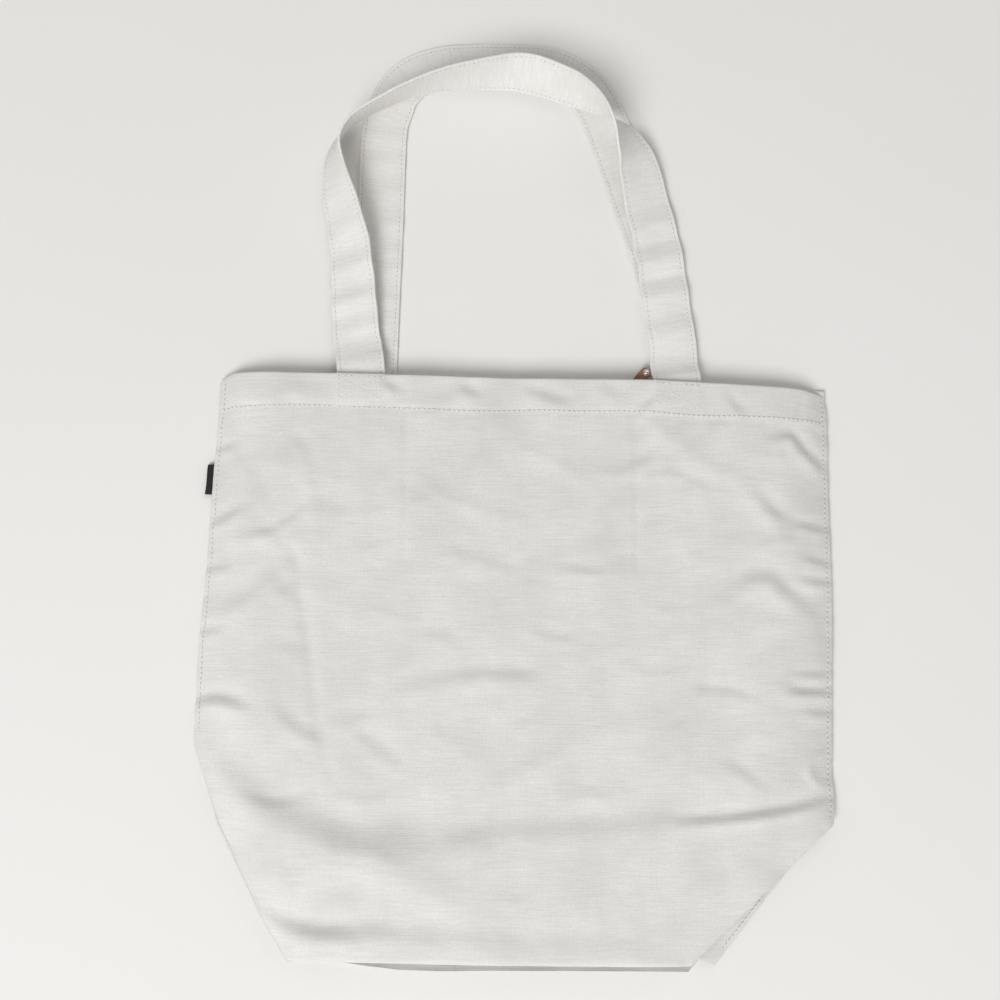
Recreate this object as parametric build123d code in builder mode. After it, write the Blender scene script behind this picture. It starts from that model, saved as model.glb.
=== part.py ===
"""Canvas tote bag lying flat on its back, with two strap handles and an inner zip pocket.

Frame: +Z up, +Y from the bag's bottom to its handles, +X to the bag's right side.
The origin is the middle of the resting face. Lengths are in millimetres.
"""
from math import cos, radians, sin
import os

from build123d import *

os.makedirs("parts", exist_ok=True)

# --- driving dimensions -------------------------------------------------------------
half_width = 225.0          # half of the bag's width across the mouth
bag_height = 411.0          # mouth edge to the bottom of the back panel
handle_rise = 272.0         # mouth edge to the top of the back handle
canvas_t = 2.0              # body canvas with its small waves
hem_depth = 25.0
hem_t = 1.2                 # facing turned in behind the mouth edge
strap_width = 35.0
strap_t = 2.4               # two layers of canvas
leg_spacing = 230.0         # between the two legs of one handle
back_leg_shift = 8.0        # the back handle's left leg is sewn this far towards the middle
sewn_margin = 4.0           # the handle ends stop this far short of the hem's lower edge
ramp_length = 12.0          # the back handle's end runs down to the floor over this length
side_wall_t = 2.0
back_lip = 4.5              # the back panel reaches this far past the front one
fold_depth = 72.0           # how far the base folds in between the panels
base_t = 1.6
left_corner = (72.0, 148.0)     # width and height of the slanted corner on the left
right_corner = (102.0, 97.0)
side_taper = 4.0            # the sides run in by this much from mouth to corner
corner_wall_t = 6.0
gusset_show = 14.0          # how far the right corner gusset shows past its corner
pocket_width = 168.0
pocket_depth = 147.0        # mouth edge to the bottom of the pocket
pocket_shift = 2.5
pocket_t = 1.2
pocket_room = 4.8           # space between the pocket's cloth and the front panel
zip_gap = 4.6               # clear gap between the two rows of teeth
tape_width = 7.0
tooth_size = 1.5
tooth_pitch = 3.2
slider_length = 11.0
slider_wall = 0.9
slider_park = 74.0          # where the slider stands at rest, across the bag
pull_length = 46.0
pull_width = 9.0
pull_t = 1.8                # a strip doubled back on itself
pull_lean = 25.0            # degrees that the pull leans to the right
rivet_radius = 2.6
rivet_to_tip = 7.0
loop_radius = 2.2           # the eye that joins slider and pull
label_drop = 66.0
label_height = 22.0
label_t = 1.2
snap_radius = 7.0
snap_t = 2.0
snap_across = -3.0
snap_drop = 12.0
thread = 0.8                # width of a row of stitches
thread_proud = 0.4
stitch_inset = 3.0

# --- clearances ----------------------------------------------------------------------
strap_air = 1.0             # between the handles where they cross
slider_air = 0.4
root_gap = 3.0              # between the mouth edge and the front handle's first section
fold_air = 0.4
tape_air = 2.2              # between the handle ends and the upper zip tape
pull_air = 0.9              # the pull passes this far above the back handle's sewn ends

# --- levels and lines worked out from them ----------------------------------------------
hem_y = (bag_height - handle_rise) / 2
back_bottom_y = hem_y - bag_height
front_bottom_y = back_bottom_y + back_lip
# From the floor up: back panel, hem, handle end, pull, slider, pocket, its room, front panel.
inner_low = canvas_t
back_strap_low = inner_low + hem_t
pull_low = back_strap_low + strap_t + pull_air
slider_low = pull_low + pull_t + fold_air
pocket_low = slider_low + slider_wall + slider_air
pocket_high = pocket_low + pocket_t
slider_high = pocket_high + slider_air + slider_wall
inner_high = pocket_high + pocket_room
flat_height = inner_high + canvas_t
front_strap_high = inner_high - hem_t
front_strap_mid = front_strap_high - strap_t / 2
sewn_length = hem_depth - sewn_margin
tape_high_edge = hem_y - sewn_length - tape_air
zip_y = tape_high_edge - tape_width - tooth_size - zip_gap / 2
pocket_left = pocket_shift - pocket_width / 2
pocket_right = pocket_shift + pocket_width / 2
label_y = hem_y - label_drop
leg_x = leg_spacing / 2


def bag_outline(bottom_y):
    """Corners of a panel: both sides run in a little, and both bottom corners are slanted."""
    left_x = -half_width + side_taper / 3
    right_x = half_width - side_taper
    return [
        (-half_width + side_taper * 2, hem_y),
        (half_width, hem_y),
        (right_x, bottom_y + right_corner[1]),
        (right_x - right_corner[0], bottom_y),
        (left_x + left_corner[0], bottom_y),
        (left_x, bottom_y + left_corner[1]),
    ]


def left_side_x(y):
    """Where the bag's left side stands at a height y."""
    corners = bag_outline(front_bottom_y)
    (top_x, top_y), (low_x, low_y) = corners[0], corners[5]
    return top_x + (low_x - top_x) * (top_y - y) / (top_y - low_y)


front_corners = bag_outline(front_bottom_y)
back_corners = bag_outline(back_bottom_y)

# --- panels ------------------------------------------------------------------------------
with BuildPart() as front_panel:
    with BuildSketch(Plane.XY.offset(inner_high)):
        with BuildLine():
            Polyline(*front_corners, close=True)
        make_face()
    extrude(amount=canvas_t)
front_panel.part.label = "front_panel"
export_step(front_panel.part, "parts/front_panel.step")

with BuildPart() as back_panel:
    with BuildSketch():
        with BuildLine():
            Polyline(*back_corners, close=True)
        make_face()
    extrude(amount=canvas_t)
back_panel.part.label = "back_panel"
export_step(back_panel.part, "parts/back_panel.step")

# The base folds in between the panels as a lying V, open towards the bottom.
base_left_x = front_corners[4][0] + corner_wall_t
base_right_x = front_corners[3][0] - corner_wall_t
with BuildPart() as base_panel:
    with BuildSketch(Plane.YZ.offset(base_left_x)):
        with BuildLine():
            Polyline(
                (front_bottom_y, inner_high),
                (front_bottom_y + fold_depth, flat_height / 2 + base_t / 2),
                (front_bottom_y + fold_depth, flat_height / 2 - base_t / 2),
                (front_bottom_y, inner_low),
                (front_bottom_y, inner_low + base_t),
                (front_bottom_y + fold_depth - 3 * base_t, flat_height / 2),
                (front_bottom_y, inner_high - base_t),
                close=True,
            )
        make_face()
    extrude(amount=base_right_x - base_left_x)
base_panel.part.label = "base_panel"
export_step(base_panel.part, "parts/base_panel.step")


def corner_gusset(side_top, bottom, inward, show):
    """A slanted wall of folded canvas that closes one bottom corner between the panels."""
    with BuildPart() as gusset:
        with BuildSketch(Plane.XY.offset(inner_low)):
            with BuildLine():
                Polyline(
                    side_top,
                    (bottom[0] + show, bottom[1]),
                    (bottom[0] + inward * corner_wall_t, bottom[1]),
                    (side_top[0] + inward * corner_wall_t, side_top[1]),
                    close=True,
                )
            make_face()
        extrude(amount=inner_high - inner_low)
    return gusset.part


left_corner_gusset = corner_gusset(front_corners[5], front_corners[4], 1, 0)
left_corner_gusset.label = "left_corner_gusset"
export_step(left_corner_gusset, "parts/left_corner_gusset.step")

right_corner_gusset = corner_gusset(front_corners[2], front_corners[3], -1, gusset_show)
right_corner_gusset.label = "right_corner_gusset"
export_step(right_corner_gusset, "parts/right_corner_gusset.step")


def side_seam(top, bottom, inward):
    """The turned-in seam that joins the two panels along one side."""
    with BuildPart() as seam:
        with BuildSketch(Plane.XY.offset(inner_low)):
            with BuildLine():
                Polyline(
                    top,
                    (top[0] + inward * side_wall_t, top[1]),
                    (bottom[0] + inward * side_wall_t, bottom[1]),
                    bottom,
                    close=True,
                )
            make_face()
        extrude(amount=inner_high - inner_low)
    return seam.part


left_side_seam = side_seam(front_corners[0], front_corners[5], 1)
left_side_seam.label = "left_side_seam"
export_step(left_side_seam, "parts/left_side_seam.step")

right_side_seam = side_seam(front_corners[1], front_corners[2], -1)
right_side_seam.label = "right_side_seam"
export_step(right_side_seam, "parts/right_side_seam.step")

# --- hems ----------------------------------------------------------------------------------
hem_left_x = left_side_x(hem_y) + side_wall_t + fold_air
hem_right_x = half_width - side_wall_t - fold_air
hem_mid_x = (hem_left_x + hem_right_x) / 2
hem_length = hem_right_x - hem_left_x


def hem_facing(low_z):
    """A facing as wide as the mouth, its top level with the mouth edge."""
    with BuildPart() as facing:
        with BuildSketch(Plane.XY.offset(low_z)):
            with Locations((hem_mid_x, hem_y)):
                Rectangle(hem_length, hem_depth, align=(Align.CENTER, Align.MAX))
        extrude(amount=hem_t)
    return facing.part


back_hem = hem_facing(inner_low)
back_hem.label = "back_hem"
export_step(back_hem, "parts/back_hem.step")

front_hem = hem_facing(front_strap_high)
front_hem.label = "front_hem"
export_step(front_hem, "parts/front_hem.step")

# --- handle ends sewn inside the hems ----------------------------------------------------------
for side, centre_x in (("left", -leg_x), ("right", leg_x)):
    with BuildPart() as front_strap_end:
        with BuildSketch(Plane.XY.offset(front_strap_high - strap_t)):
            with Locations((centre_x, hem_y)):
                Rectangle(strap_width, sewn_length, align=(Align.CENTER, Align.MAX))
        extrude(amount=strap_t)
    front_strap_end.part.label = f"front_strap_end_{side}"
    export_step(front_strap_end.part, f"parts/front_strap_end_{side}.step")

for side, centre_x in (("left", -leg_x + back_leg_shift), ("right", leg_x)):
    with BuildPart() as back_strap_end:
        with BuildSketch(Plane.YZ.offset(centre_x - strap_width / 2)):
            with BuildLine():
                Polyline(
                    (hem_y - sewn_length, back_strap_low),
                    (hem_y + fold_air, back_strap_low),
                    (hem_y + ramp_length - 2 * strap_t, 0),
                    (hem_y + ramp_length, 0),
                    (hem_y + ramp_length, strap_t),
                    (hem_y + fold_air + strap_t, back_strap_low + strap_t),
                    (hem_y - sewn_length, back_strap_low + strap_t),
                    close=True,
                )
            make_face()
        extrude(amount=strap_width)
    back_strap_end.part.label = f"back_strap_end_{side}"
    export_step(back_strap_end.part, f"parts/back_strap_end_{side}.step")


# --- handles -----------------------------------------------------------------------------------
def strap_band(stations):
    """A strap as a loft of flat sections along its lower edge.

    Each station gives the lower edge's place across and along the bag, the level of its
    middle, how far the band leans up from lying flat, and its heading from +Y to +X.
    """
    with BuildPart() as band:
        for edge_x, edge_y, level, lean, heading in stations:
            along = Vector(sin(radians(heading)), cos(radians(heading)), 0)
            inward = along.cross(Vector(0, 0, 1))
            across = inward * cos(radians(lean)) + Vector(0, 0, sin(radians(lean)))
            middle = Vector(edge_x, edge_y, level) + across * (strap_width / 2)
            with BuildSketch(Plane(origin=middle, x_dir=across, z_dir=along)):
                Rectangle(strap_width, strap_t)
        loft(ruled=True)
    return band.part


# Places along a handle are shares: across in half leg spacings, along in handle rises.
outer_edge = 1 + strap_width / 2 / leg_x
front_level = strap_t + strap_air + strap_t / 2
front_root_share = root_gap / handle_rise
front_stations = [
    (-outer_edge, front_root_share, front_strap_mid, 0, -3),
    (-1.195, 0.11, front_level + 2.4, 5, -5),
    (-1.212, 0.206, front_level + 0.6, 14, -3),
    (-1.235, 0.357, front_level, 28, -6),
    (-1.280, 0.467, front_level, 40, -9),
    (-1.302, 0.540, front_level, 50, -3),
    (-1.300, 0.612, front_level, 62, 9),
    (-1.262, 0.669, front_level, 71, 24),
    (-1.175, 0.722, front_level, 75, 40),
    (-1.045, 0.763, front_level, 77, 53),
    (-0.905, 0.797, front_level, 78, 62),
    (-0.748, 0.824, front_level, 82, 70),
    (-0.515, 0.847, front_level, 89, 80),
    (-0.200, 0.852, front_level, 100, 91),
    (0.010, 0.844, front_level, 107, 98),
    (0.255, 0.812, front_level, 115, 108),
    (0.400, 0.786, front_level, 118, 114),
    (0.560, 0.752, front_level, 103, 118),
    (0.720, 0.715, front_level, 72, 127),
    (0.850, 0.665, front_level, 42, 141),
    (0.915, 0.605, front_level, 22, 152),
    (0.970, 0.520, front_level, 9, 160),
    (1.045, 0.390, front_level, 3, 164),
    (1.105, 0.203, front_level + 0.6, 0, 169),
    (1.135, 0.11, front_level + 2.4, 0, 174),
    (outer_edge, front_root_share, front_strap_mid, 0, 177),
]
with BuildPart() as front_handle:
    add(strap_band([(share_x * leg_x, hem_y + share_y * handle_rise, level, lean, heading)
                    for share_x, share_y, level, lean, heading in front_stations]))
front_handle.part.label = "front_handle"
export_step(front_handle.part, "parts/front_handle.step")

back_root_share = (ramp_length + root_gap) / handle_rise
back_left_outer = -outer_edge + back_leg_shift / leg_x
back_stations = [
    (back_left_outer, back_root_share, 0),
    (back_left_outer + 0.010, 0.45, 1),
    (back_left_outer + 0.020, 0.720, 3),
    (-0.995, 0.800, 16),
    (-0.930, 0.868, 33),
    (-0.800, 0.928, 52),
    (-0.620, 0.975, 70),
    (-0.420, 0.995, 84),
    (-0.100, 1.0, 90),
    (0.150, 0.995, 97),
    (0.360, 0.965, 114),
    (0.530, 0.910, 132),
    (0.645, 0.835, 148),
    (0.720, 0.760, 158),
    (0.860, 0.585, 161),
    (1.030, 0.360, 163),
    (1.130, 0.170, 172),
    (outer_edge, back_root_share, 180),
]
with BuildPart() as back_handle:
    add(strap_band([(share_x * leg_x, hem_y + share_y * handle_rise, strap_t / 2, 0, heading)
                    for share_x, share_y, heading in back_stations]))
back_handle.part.label = "back_handle"
export_step(back_handle.part, "parts/back_handle.step")

# --- inner pocket and its zip ---------------------------------------------------------------------
pocket_top_y = zip_y - zip_gap / 2 - tooth_size
pocket_bottom_y = hem_y - pocket_depth
tape_low_edge = pocket_top_y - tape_width

with BuildPart() as pocket_panel:
    with BuildSketch(Plane.XY.offset(pocket_low)):
        with Locations((pocket_shift, pocket_bottom_y)):
            Rectangle(pocket_width, tape_low_edge - pocket_bottom_y, align=(Align.CENTER, Align.MIN))
    extrude(amount=pocket_t)
    with BuildSketch(Plane.XY.offset(pocket_low)):
        for rim_x, rim_align in ((pocket_left, Align.MIN), (pocket_right, Align.MAX)):
            with Locations((rim_x, pocket_bottom_y)):
                Rectangle(pocket_t, tape_low_edge - pocket_bottom_y, align=(rim_align, Align.MIN))
        with Locations((pocket_shift, pocket_bottom_y)):
            Rectangle(pocket_width, pocket_t, align=(Align.CENTER, Align.MIN))
    extrude(amount=pocket_t + pocket_room)
pocket_panel.part.label = "pocket_panel"
export_step(pocket_panel.part, "parts/pocket_panel.step")

with BuildPart() as zip_tape_lower:
    with BuildSketch(Plane.XY.offset(pocket_low)):
        with Locations((pocket_shift, pocket_top_y)):
            Rectangle(pocket_width, tape_width, align=(Align.CENTER, Align.MAX))
    extrude(amount=pocket_t)
zip_tape_lower.part.label = "zip_tape_lower"
export_step(zip_tape_lower.part, "parts/zip_tape_lower.step")

with BuildPart() as zip_tape_upper:
    with BuildSketch(Plane.XY.offset(pocket_low)):
        with Locations((pocket_shift, tape_high_edge)):
            Rectangle(pocket_width, tape_width, align=(Align.CENTER, Align.MAX))
    extrude(amount=pocket_t)
    with BuildSketch(Plane.XY.offset(pocket_low)):
        with Locations((pocket_shift, tape_high_edge)):
            Rectangle(pocket_width, pocket_t, align=(Align.CENTER, Align.MAX))
    extrude(amount=front_strap_high - pocket_low)
zip_tape_upper.part.label = "zip_tape_upper"
export_step(zip_tape_upper.part, "parts/zip_tape_upper.step")

tooth_count = int((pocket_width - 2 * tooth_pitch) / tooth_pitch)
for row, row_side in (("lower", -1), ("upper", 1)):
    with BuildPart() as zip_teeth:
        row_y = zip_y + row_side * (zip_gap + tooth_size) / 2
        with BuildSketch(Plane.XY.offset(pocket_low)):
            with Locations((pocket_shift, row_y)):
                with GridLocations(tooth_pitch, tooth_size, tooth_count, 1):
                    Rectangle(tooth_pitch / 2, tooth_size)
        extrude(amount=pocket_t)
    zip_teeth.part.label = f"zip_teeth_{row}"
    export_step(zip_teeth.part, f"parts/zip_teeth_{row}.step")

with BuildPart() as zip_stops:
    with BuildSketch(Plane.XY.offset(pocket_low)):
        for stop_x in (pocket_left + tooth_pitch / 2, pocket_right - tooth_pitch / 2):
            with Locations((stop_x, zip_y)):
                Rectangle(tooth_pitch / 2, zip_gap)
    extrude(amount=pocket_t)
zip_stops.part.label = "zip_stops"
export_step(zip_stops.part, "parts/zip_stops.step")

# The slider is two plates over and under the rows, joined by a wedge that runs in the gap.
slider_width = zip_gap + 2 * tooth_size + 2 * slider_wall
with BuildPart() as zip_slider:
    for plate_low in (slider_low, slider_high - slider_wall):
        with BuildSketch(Plane.XY.offset(plate_low)):
            with Locations((slider_park, zip_y)):
                RectangleRounded(slider_length, slider_width, slider_wall)
        extrude(amount=slider_wall)
    with BuildSketch(Plane.XY.offset(slider_low)):
        with Locations((slider_park, zip_y)):
            Rectangle(slider_length / 2, zip_gap - 2 * slider_air)
    extrude(amount=slider_high - slider_low)
zip_slider.part.label = "zip_slider"
export_step(zip_slider.part, "parts/zip_slider.step")

# --- leather pull ------------------------------------------------------------------------------------
pull_heading = 90 - pull_lean
with BuildPart() as pull_eye:
    with BuildSketch(Plane.XY.offset(pull_low)):
        with Locations((slider_park, zip_y)):
            Circle(loop_radius)
    extrude(amount=pull_t)
pull_eye.part.label = "pull_eye"
export_step(pull_eye.part, "parts/pull_eye.step")

pull_plane = Plane(origin=(slider_park, zip_y, pull_low), z_dir=(0, 0, 1),
                   x_dir=(cos(radians(pull_heading)), sin(radians(pull_heading)), 0))
with BuildPart() as leather_pull:
    with BuildSketch(pull_plane):
        with Locations((-pull_width / 2, 0)):
            Rectangle(pull_length + pull_width / 2, pull_width, align=(Align.MIN, Align.CENTER))
        Circle(loop_radius + fold_air, mode=Mode.SUBTRACT)
        with Locations((pull_length - rivet_to_tip, 0)):
            Circle(rivet_radius / 2, mode=Mode.SUBTRACT)
    extrude(amount=pull_t)
leather_pull.part.label = "leather_pull"
export_step(leather_pull.part, "parts/leather_pull.step")

with BuildPart() as pull_rivet:
    with BuildSketch(pull_plane):
        with Locations((pull_length - rivet_to_tip, 0)):
            Circle(rivet_radius / 2)
    extrude(amount=pull_t)
    with BuildSketch(pull_plane.offset(pull_t)):
        with Locations((pull_length - rivet_to_tip, 0)):
            Circle(rivet_radius)
    extrude(amount=fold_air)
pull_rivet.part.label = "pull_rivet"
export_step(pull_rivet.part, "parts/pull_rivet.step")

# --- magnetic snap ------------------------------------------------------------------------------------
with BuildPart() as snap_stud:
    with BuildSketch(Plane.XY.offset(back_strap_low)):
        with Locations((snap_across, hem_y - snap_drop)):
            Circle(snap_radius)
    extrude(amount=snap_t)
snap_stud.part.label = "snap_stud"
export_step(snap_stud.part, "parts/snap_stud.step")

with BuildPart() as snap_socket:
    with BuildSketch(Plane.XY.offset(front_strap_high - snap_t)):
        with Locations((snap_across, hem_y - snap_drop)):
            Circle(snap_radius)
    extrude(amount=snap_t)
snap_socket.part.label = "snap_socket"
export_step(snap_socket.part, "parts/snap_socket.step")

# --- label --------------------------------------------------------------------------------------------
label_root_x = left_side_x(label_y - label_height / 2) - fold_air
with BuildPart() as side_label:
    with BuildSketch(Plane.XY.offset(flat_height / 2 - label_t / 2)):
        with Locations((-half_width, label_y)):
            Rectangle(label_root_x + half_width, label_height, align=(Align.MIN, Align.MAX))
    extrude(amount=label_t)
side_label.part.label = "side_label"
export_step(side_label.part, "parts/side_label.step")

# --- rows of stitches, standing just proud of the canvas ---------------------------------------------------
stitch_y = hem_y - hem_depth + thread
with BuildPart() as front_hem_stitching:
    with BuildSketch(Plane.XY.offset(flat_height)):
        with Locations((hem_mid_x, stitch_y)):
            Rectangle(hem_length, thread)
    extrude(amount=thread_proud)
front_hem_stitching.part.label = "front_hem_stitching"
export_step(front_hem_stitching.part, "parts/front_hem_stitching.step")

with BuildPart() as side_seam_stitching:
    for top, bottom, inward in ((front_corners[0], front_corners[5], 1),
                                (front_corners[1], front_corners[2], -1)):
        inset_top = (top[0] + inward * stitch_inset, stitch_y - thread)
        inset_bottom = (bottom[0] + inward * stitch_inset, bottom[1])
        with BuildSketch(Plane.XY.offset(flat_height)):
            with BuildLine():
                Polyline(
                    inset_top,
                    (inset_top[0] + inward * thread, inset_top[1]),
                    (inset_bottom[0] + inward * thread, inset_bottom[1]),
                    inset_bottom,
                    close=True,
                )
            make_face()
        extrude(amount=thread_proud)
side_seam_stitching.part.label = "side_seam_stitching"
export_step(side_seam_stitching.part, "parts/side_seam_stitching.step")

with BuildPart() as strap_box_stitching:
    box_height = hem_depth - 3 * stitch_inset
    with BuildSketch(Plane.XY.offset(flat_height)):
        with Locations((-leg_x, hem_y - stitch_inset), (leg_x, hem_y - stitch_inset)):
            Rectangle(strap_width - 2 * stitch_inset, box_height, align=(Align.CENTER, Align.MAX))
            Rectangle(strap_width - 2 * stitch_inset - 2 * thread, box_height - 2 * thread,
                      align=(Align.CENTER, Align.MAX), mode=Mode.SUBTRACT)
    extrude(amount=thread_proud)
strap_box_stitching.part.label = "strap_box_stitching"
export_step(strap_box_stitching.part, "parts/strap_box_stitching.step")
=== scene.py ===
"""Canvas tote bag lying flat on its back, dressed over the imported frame.

Sizes in the classes below are millimetres, as a sewing pattern gives them, and meshes are
made in metres in the frame's own axes: +Z up, +Y from the bag's bottom to its handles.
"""
from __future__ import annotations

import logging
import math
from collections.abc import Callable, Sequence
from dataclasses import dataclass, field
from enum import Enum
from typing import Any

import bmesh
import bpy
import numpy as np
from mathutils import Matrix, Vector


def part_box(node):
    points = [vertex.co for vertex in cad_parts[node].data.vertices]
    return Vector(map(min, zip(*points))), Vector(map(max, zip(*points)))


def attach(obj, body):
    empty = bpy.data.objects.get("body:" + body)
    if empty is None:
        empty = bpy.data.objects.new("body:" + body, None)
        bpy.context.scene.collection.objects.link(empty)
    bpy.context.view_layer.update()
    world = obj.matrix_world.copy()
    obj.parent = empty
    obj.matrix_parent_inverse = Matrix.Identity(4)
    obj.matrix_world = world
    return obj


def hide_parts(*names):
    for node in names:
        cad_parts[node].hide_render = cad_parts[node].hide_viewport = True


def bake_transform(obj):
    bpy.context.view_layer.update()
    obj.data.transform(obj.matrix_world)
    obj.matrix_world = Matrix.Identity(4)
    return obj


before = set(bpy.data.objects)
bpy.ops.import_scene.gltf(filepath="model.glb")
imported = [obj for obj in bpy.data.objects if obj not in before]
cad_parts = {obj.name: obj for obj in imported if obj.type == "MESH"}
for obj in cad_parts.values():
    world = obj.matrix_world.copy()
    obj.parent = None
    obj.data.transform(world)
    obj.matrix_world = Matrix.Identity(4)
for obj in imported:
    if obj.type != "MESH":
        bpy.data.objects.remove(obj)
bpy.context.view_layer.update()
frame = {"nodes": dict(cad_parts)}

log = logging.getLogger("tote_bag")
MM = 0.001
WEAVE_MAP = "weave"
STITCH_BATCH = 12
# Half the size across the row, along it and into the cloth, in millimetres, of the dark bead that paints
# the shade in each needle hole.
NEEDLE_HOLE = (0.42, 0.5, 0.14)
Points = np.ndarray
Shape = Callable[[np.ndarray, np.ndarray], tuple[np.ndarray, np.ndarray]]


# --- small tools ---------------------------------------------------------------------------
def linear(hex_colour: str) -> tuple[float, float, float, float]:
    """Turn an sRGB hex colour into the linear colour that a shader takes.

    Args:
        hex_colour: Six hex digits, with or without a leading hash.

    Returns:
        Red, green, blue and an alpha of one.
    """
    digits = hex_colour.lstrip("#")
    parts = [int(digits[i:i + 2], 16) / 255 for i in (0, 2, 4)]
    bright = [c / 12.92 if c <= 0.04045 else ((c + 0.055) / 1.055) ** 2.4 for c in parts]
    return (bright[0], bright[1], bright[2], 1.0)


def smooth(value: np.ndarray | float) -> np.ndarray:
    """Ease a value from 0 to 1, flat at both ends."""
    t = np.clip(value, 0.0, 1.0)
    return t * t * (3 - 2 * t)


def mound(distance: np.ndarray, width: float) -> np.ndarray:
    """Give a rounded rise: 1 in its middle, and next to nothing at twice its width."""
    return np.exp(-(distance / width) ** 2)


def curve_through(points: Sequence[Sequence[float]], count: int) -> Points:
    """Sample a smooth line through given points.

    Args:
        points: The points, each with any number of values.
        count: How many samples to take, evenly along the points.

    Returns:
        An array with one row for each sample.
    """
    knots = np.array(points, float)
    ends = np.vstack([2 * knots[0] - knots[1], knots, 2 * knots[-1] - knots[-2]])
    where = np.linspace(0, len(knots) - 1, count)
    index = np.minimum(where.astype(int), len(knots) - 2)
    t = (where - index)[:, None]
    a, b, c, d = ends[index], ends[index + 1], ends[index + 2], ends[index + 3]
    return 0.5 * (2 * b + (c - a) * t + (2 * a - 5 * b + 4 * c - d) * t ** 2
                  + (3 * b - a - 3 * c + d) * t ** 3)


def from_line(x: np.ndarray, y: np.ndarray, line: Points) -> tuple[np.ndarray, np.ndarray, np.ndarray]:
    """Measure points against a sampled line.

    Args:
        x: Places across.
        y: Places along.
        line: Samples of the line, in two columns.

    Returns:
        Signed distance to the left of the line, distance past its ends, and the share along it.
    """
    tangents = np.gradient(line, axis=0)
    tangents /= np.maximum(np.linalg.norm(tangents, axis=1, keepdims=True), 1e-9)
    away = (x[:, None] - line[None, :, 0]) ** 2 + (y[:, None] - line[None, :, 1]) ** 2
    nearest = away.argmin(axis=1)
    dx, dy = x - line[nearest, 0], y - line[nearest, 1]
    tx, ty = tangents[nearest, 0], tangents[nearest, 1]
    side = tx * dy - ty * dx
    past = np.abs(tx * dx + ty * dy)
    return side, past, nearest / (len(line) - 1)


def rolling(x: np.ndarray, y: np.ndarray, size: float, seed: int) -> np.ndarray:
    """Gentle unevenness made of a few crossing waves, from -1 to 1.

    Args:
        x: Places across, in millimetres.
        y: Places along, in millimetres.
        size: Usual distance between two rises.
        seed: Picks the waves' directions and phases.

    Returns:
        The height at each place.
    """
    draw = np.random.default_rng(seed)
    total = np.zeros_like(x)
    for _ in range(7):
        turn = draw.uniform(0, math.pi)
        rate = 2 * math.pi / (size * draw.uniform(0.6, 1.7))
        phase = draw.uniform(0, 2 * math.pi)
        bend = draw.uniform(0.3, 1.2) * np.sin(rate * 0.4 * (x * math.sin(turn) - y * math.cos(turn)))
        total += np.sin(rate * (x * math.cos(turn) + y * math.sin(turn)) + phase + bend)
    return total / 4


# --- finishes --------------------------------------------------------------------------------
def add_node(tree: bpy.types.NodeTree, kind: str, settings: dict[str, Any] | None = None,
             links: dict[str, bpy.types.NodeSocket] | None = None) -> bpy.types.Node:
    """Add a shader node with its settings and links.

    Args:
        tree: The material's node tree.
        kind: The node's type name.
        settings: Values for attributes, or for inputs where the name is an input's.
        links: Sockets to join to the node's inputs, by input name.

    Returns:
        The new node.
    """
    node = tree.nodes.new(kind)
    for name, value in (settings or {}).items():
        if name.isdigit():
            node.inputs[int(name)].default_value = value
        elif hasattr(node, name):
            setattr(node, name, value)
        else:
            node.inputs[name].default_value = value
    for name, socket in (links or {}).items():
        tree.links.new(socket, node.inputs[int(name)] if name.isdigit() else node.inputs[name])
    return node


def per_metre(size_mm: float) -> float:
    """Turn a pattern's size in millimetres into its scale."""
    return 1.0 / (size_mm * MM)


def new_material(name: str) -> tuple[bpy.types.Material, bpy.types.NodeTree, bpy.types.Node]:
    """Start a material.

    Args:
        name: The material's name, after what the real one is.

    Returns:
        The material, its node tree and its main shader.
    """
    material = bpy.data.materials.new(name)
    material.use_nodes = True
    tree = material.node_tree
    return material, tree, tree.nodes["Principled BSDF"]


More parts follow.
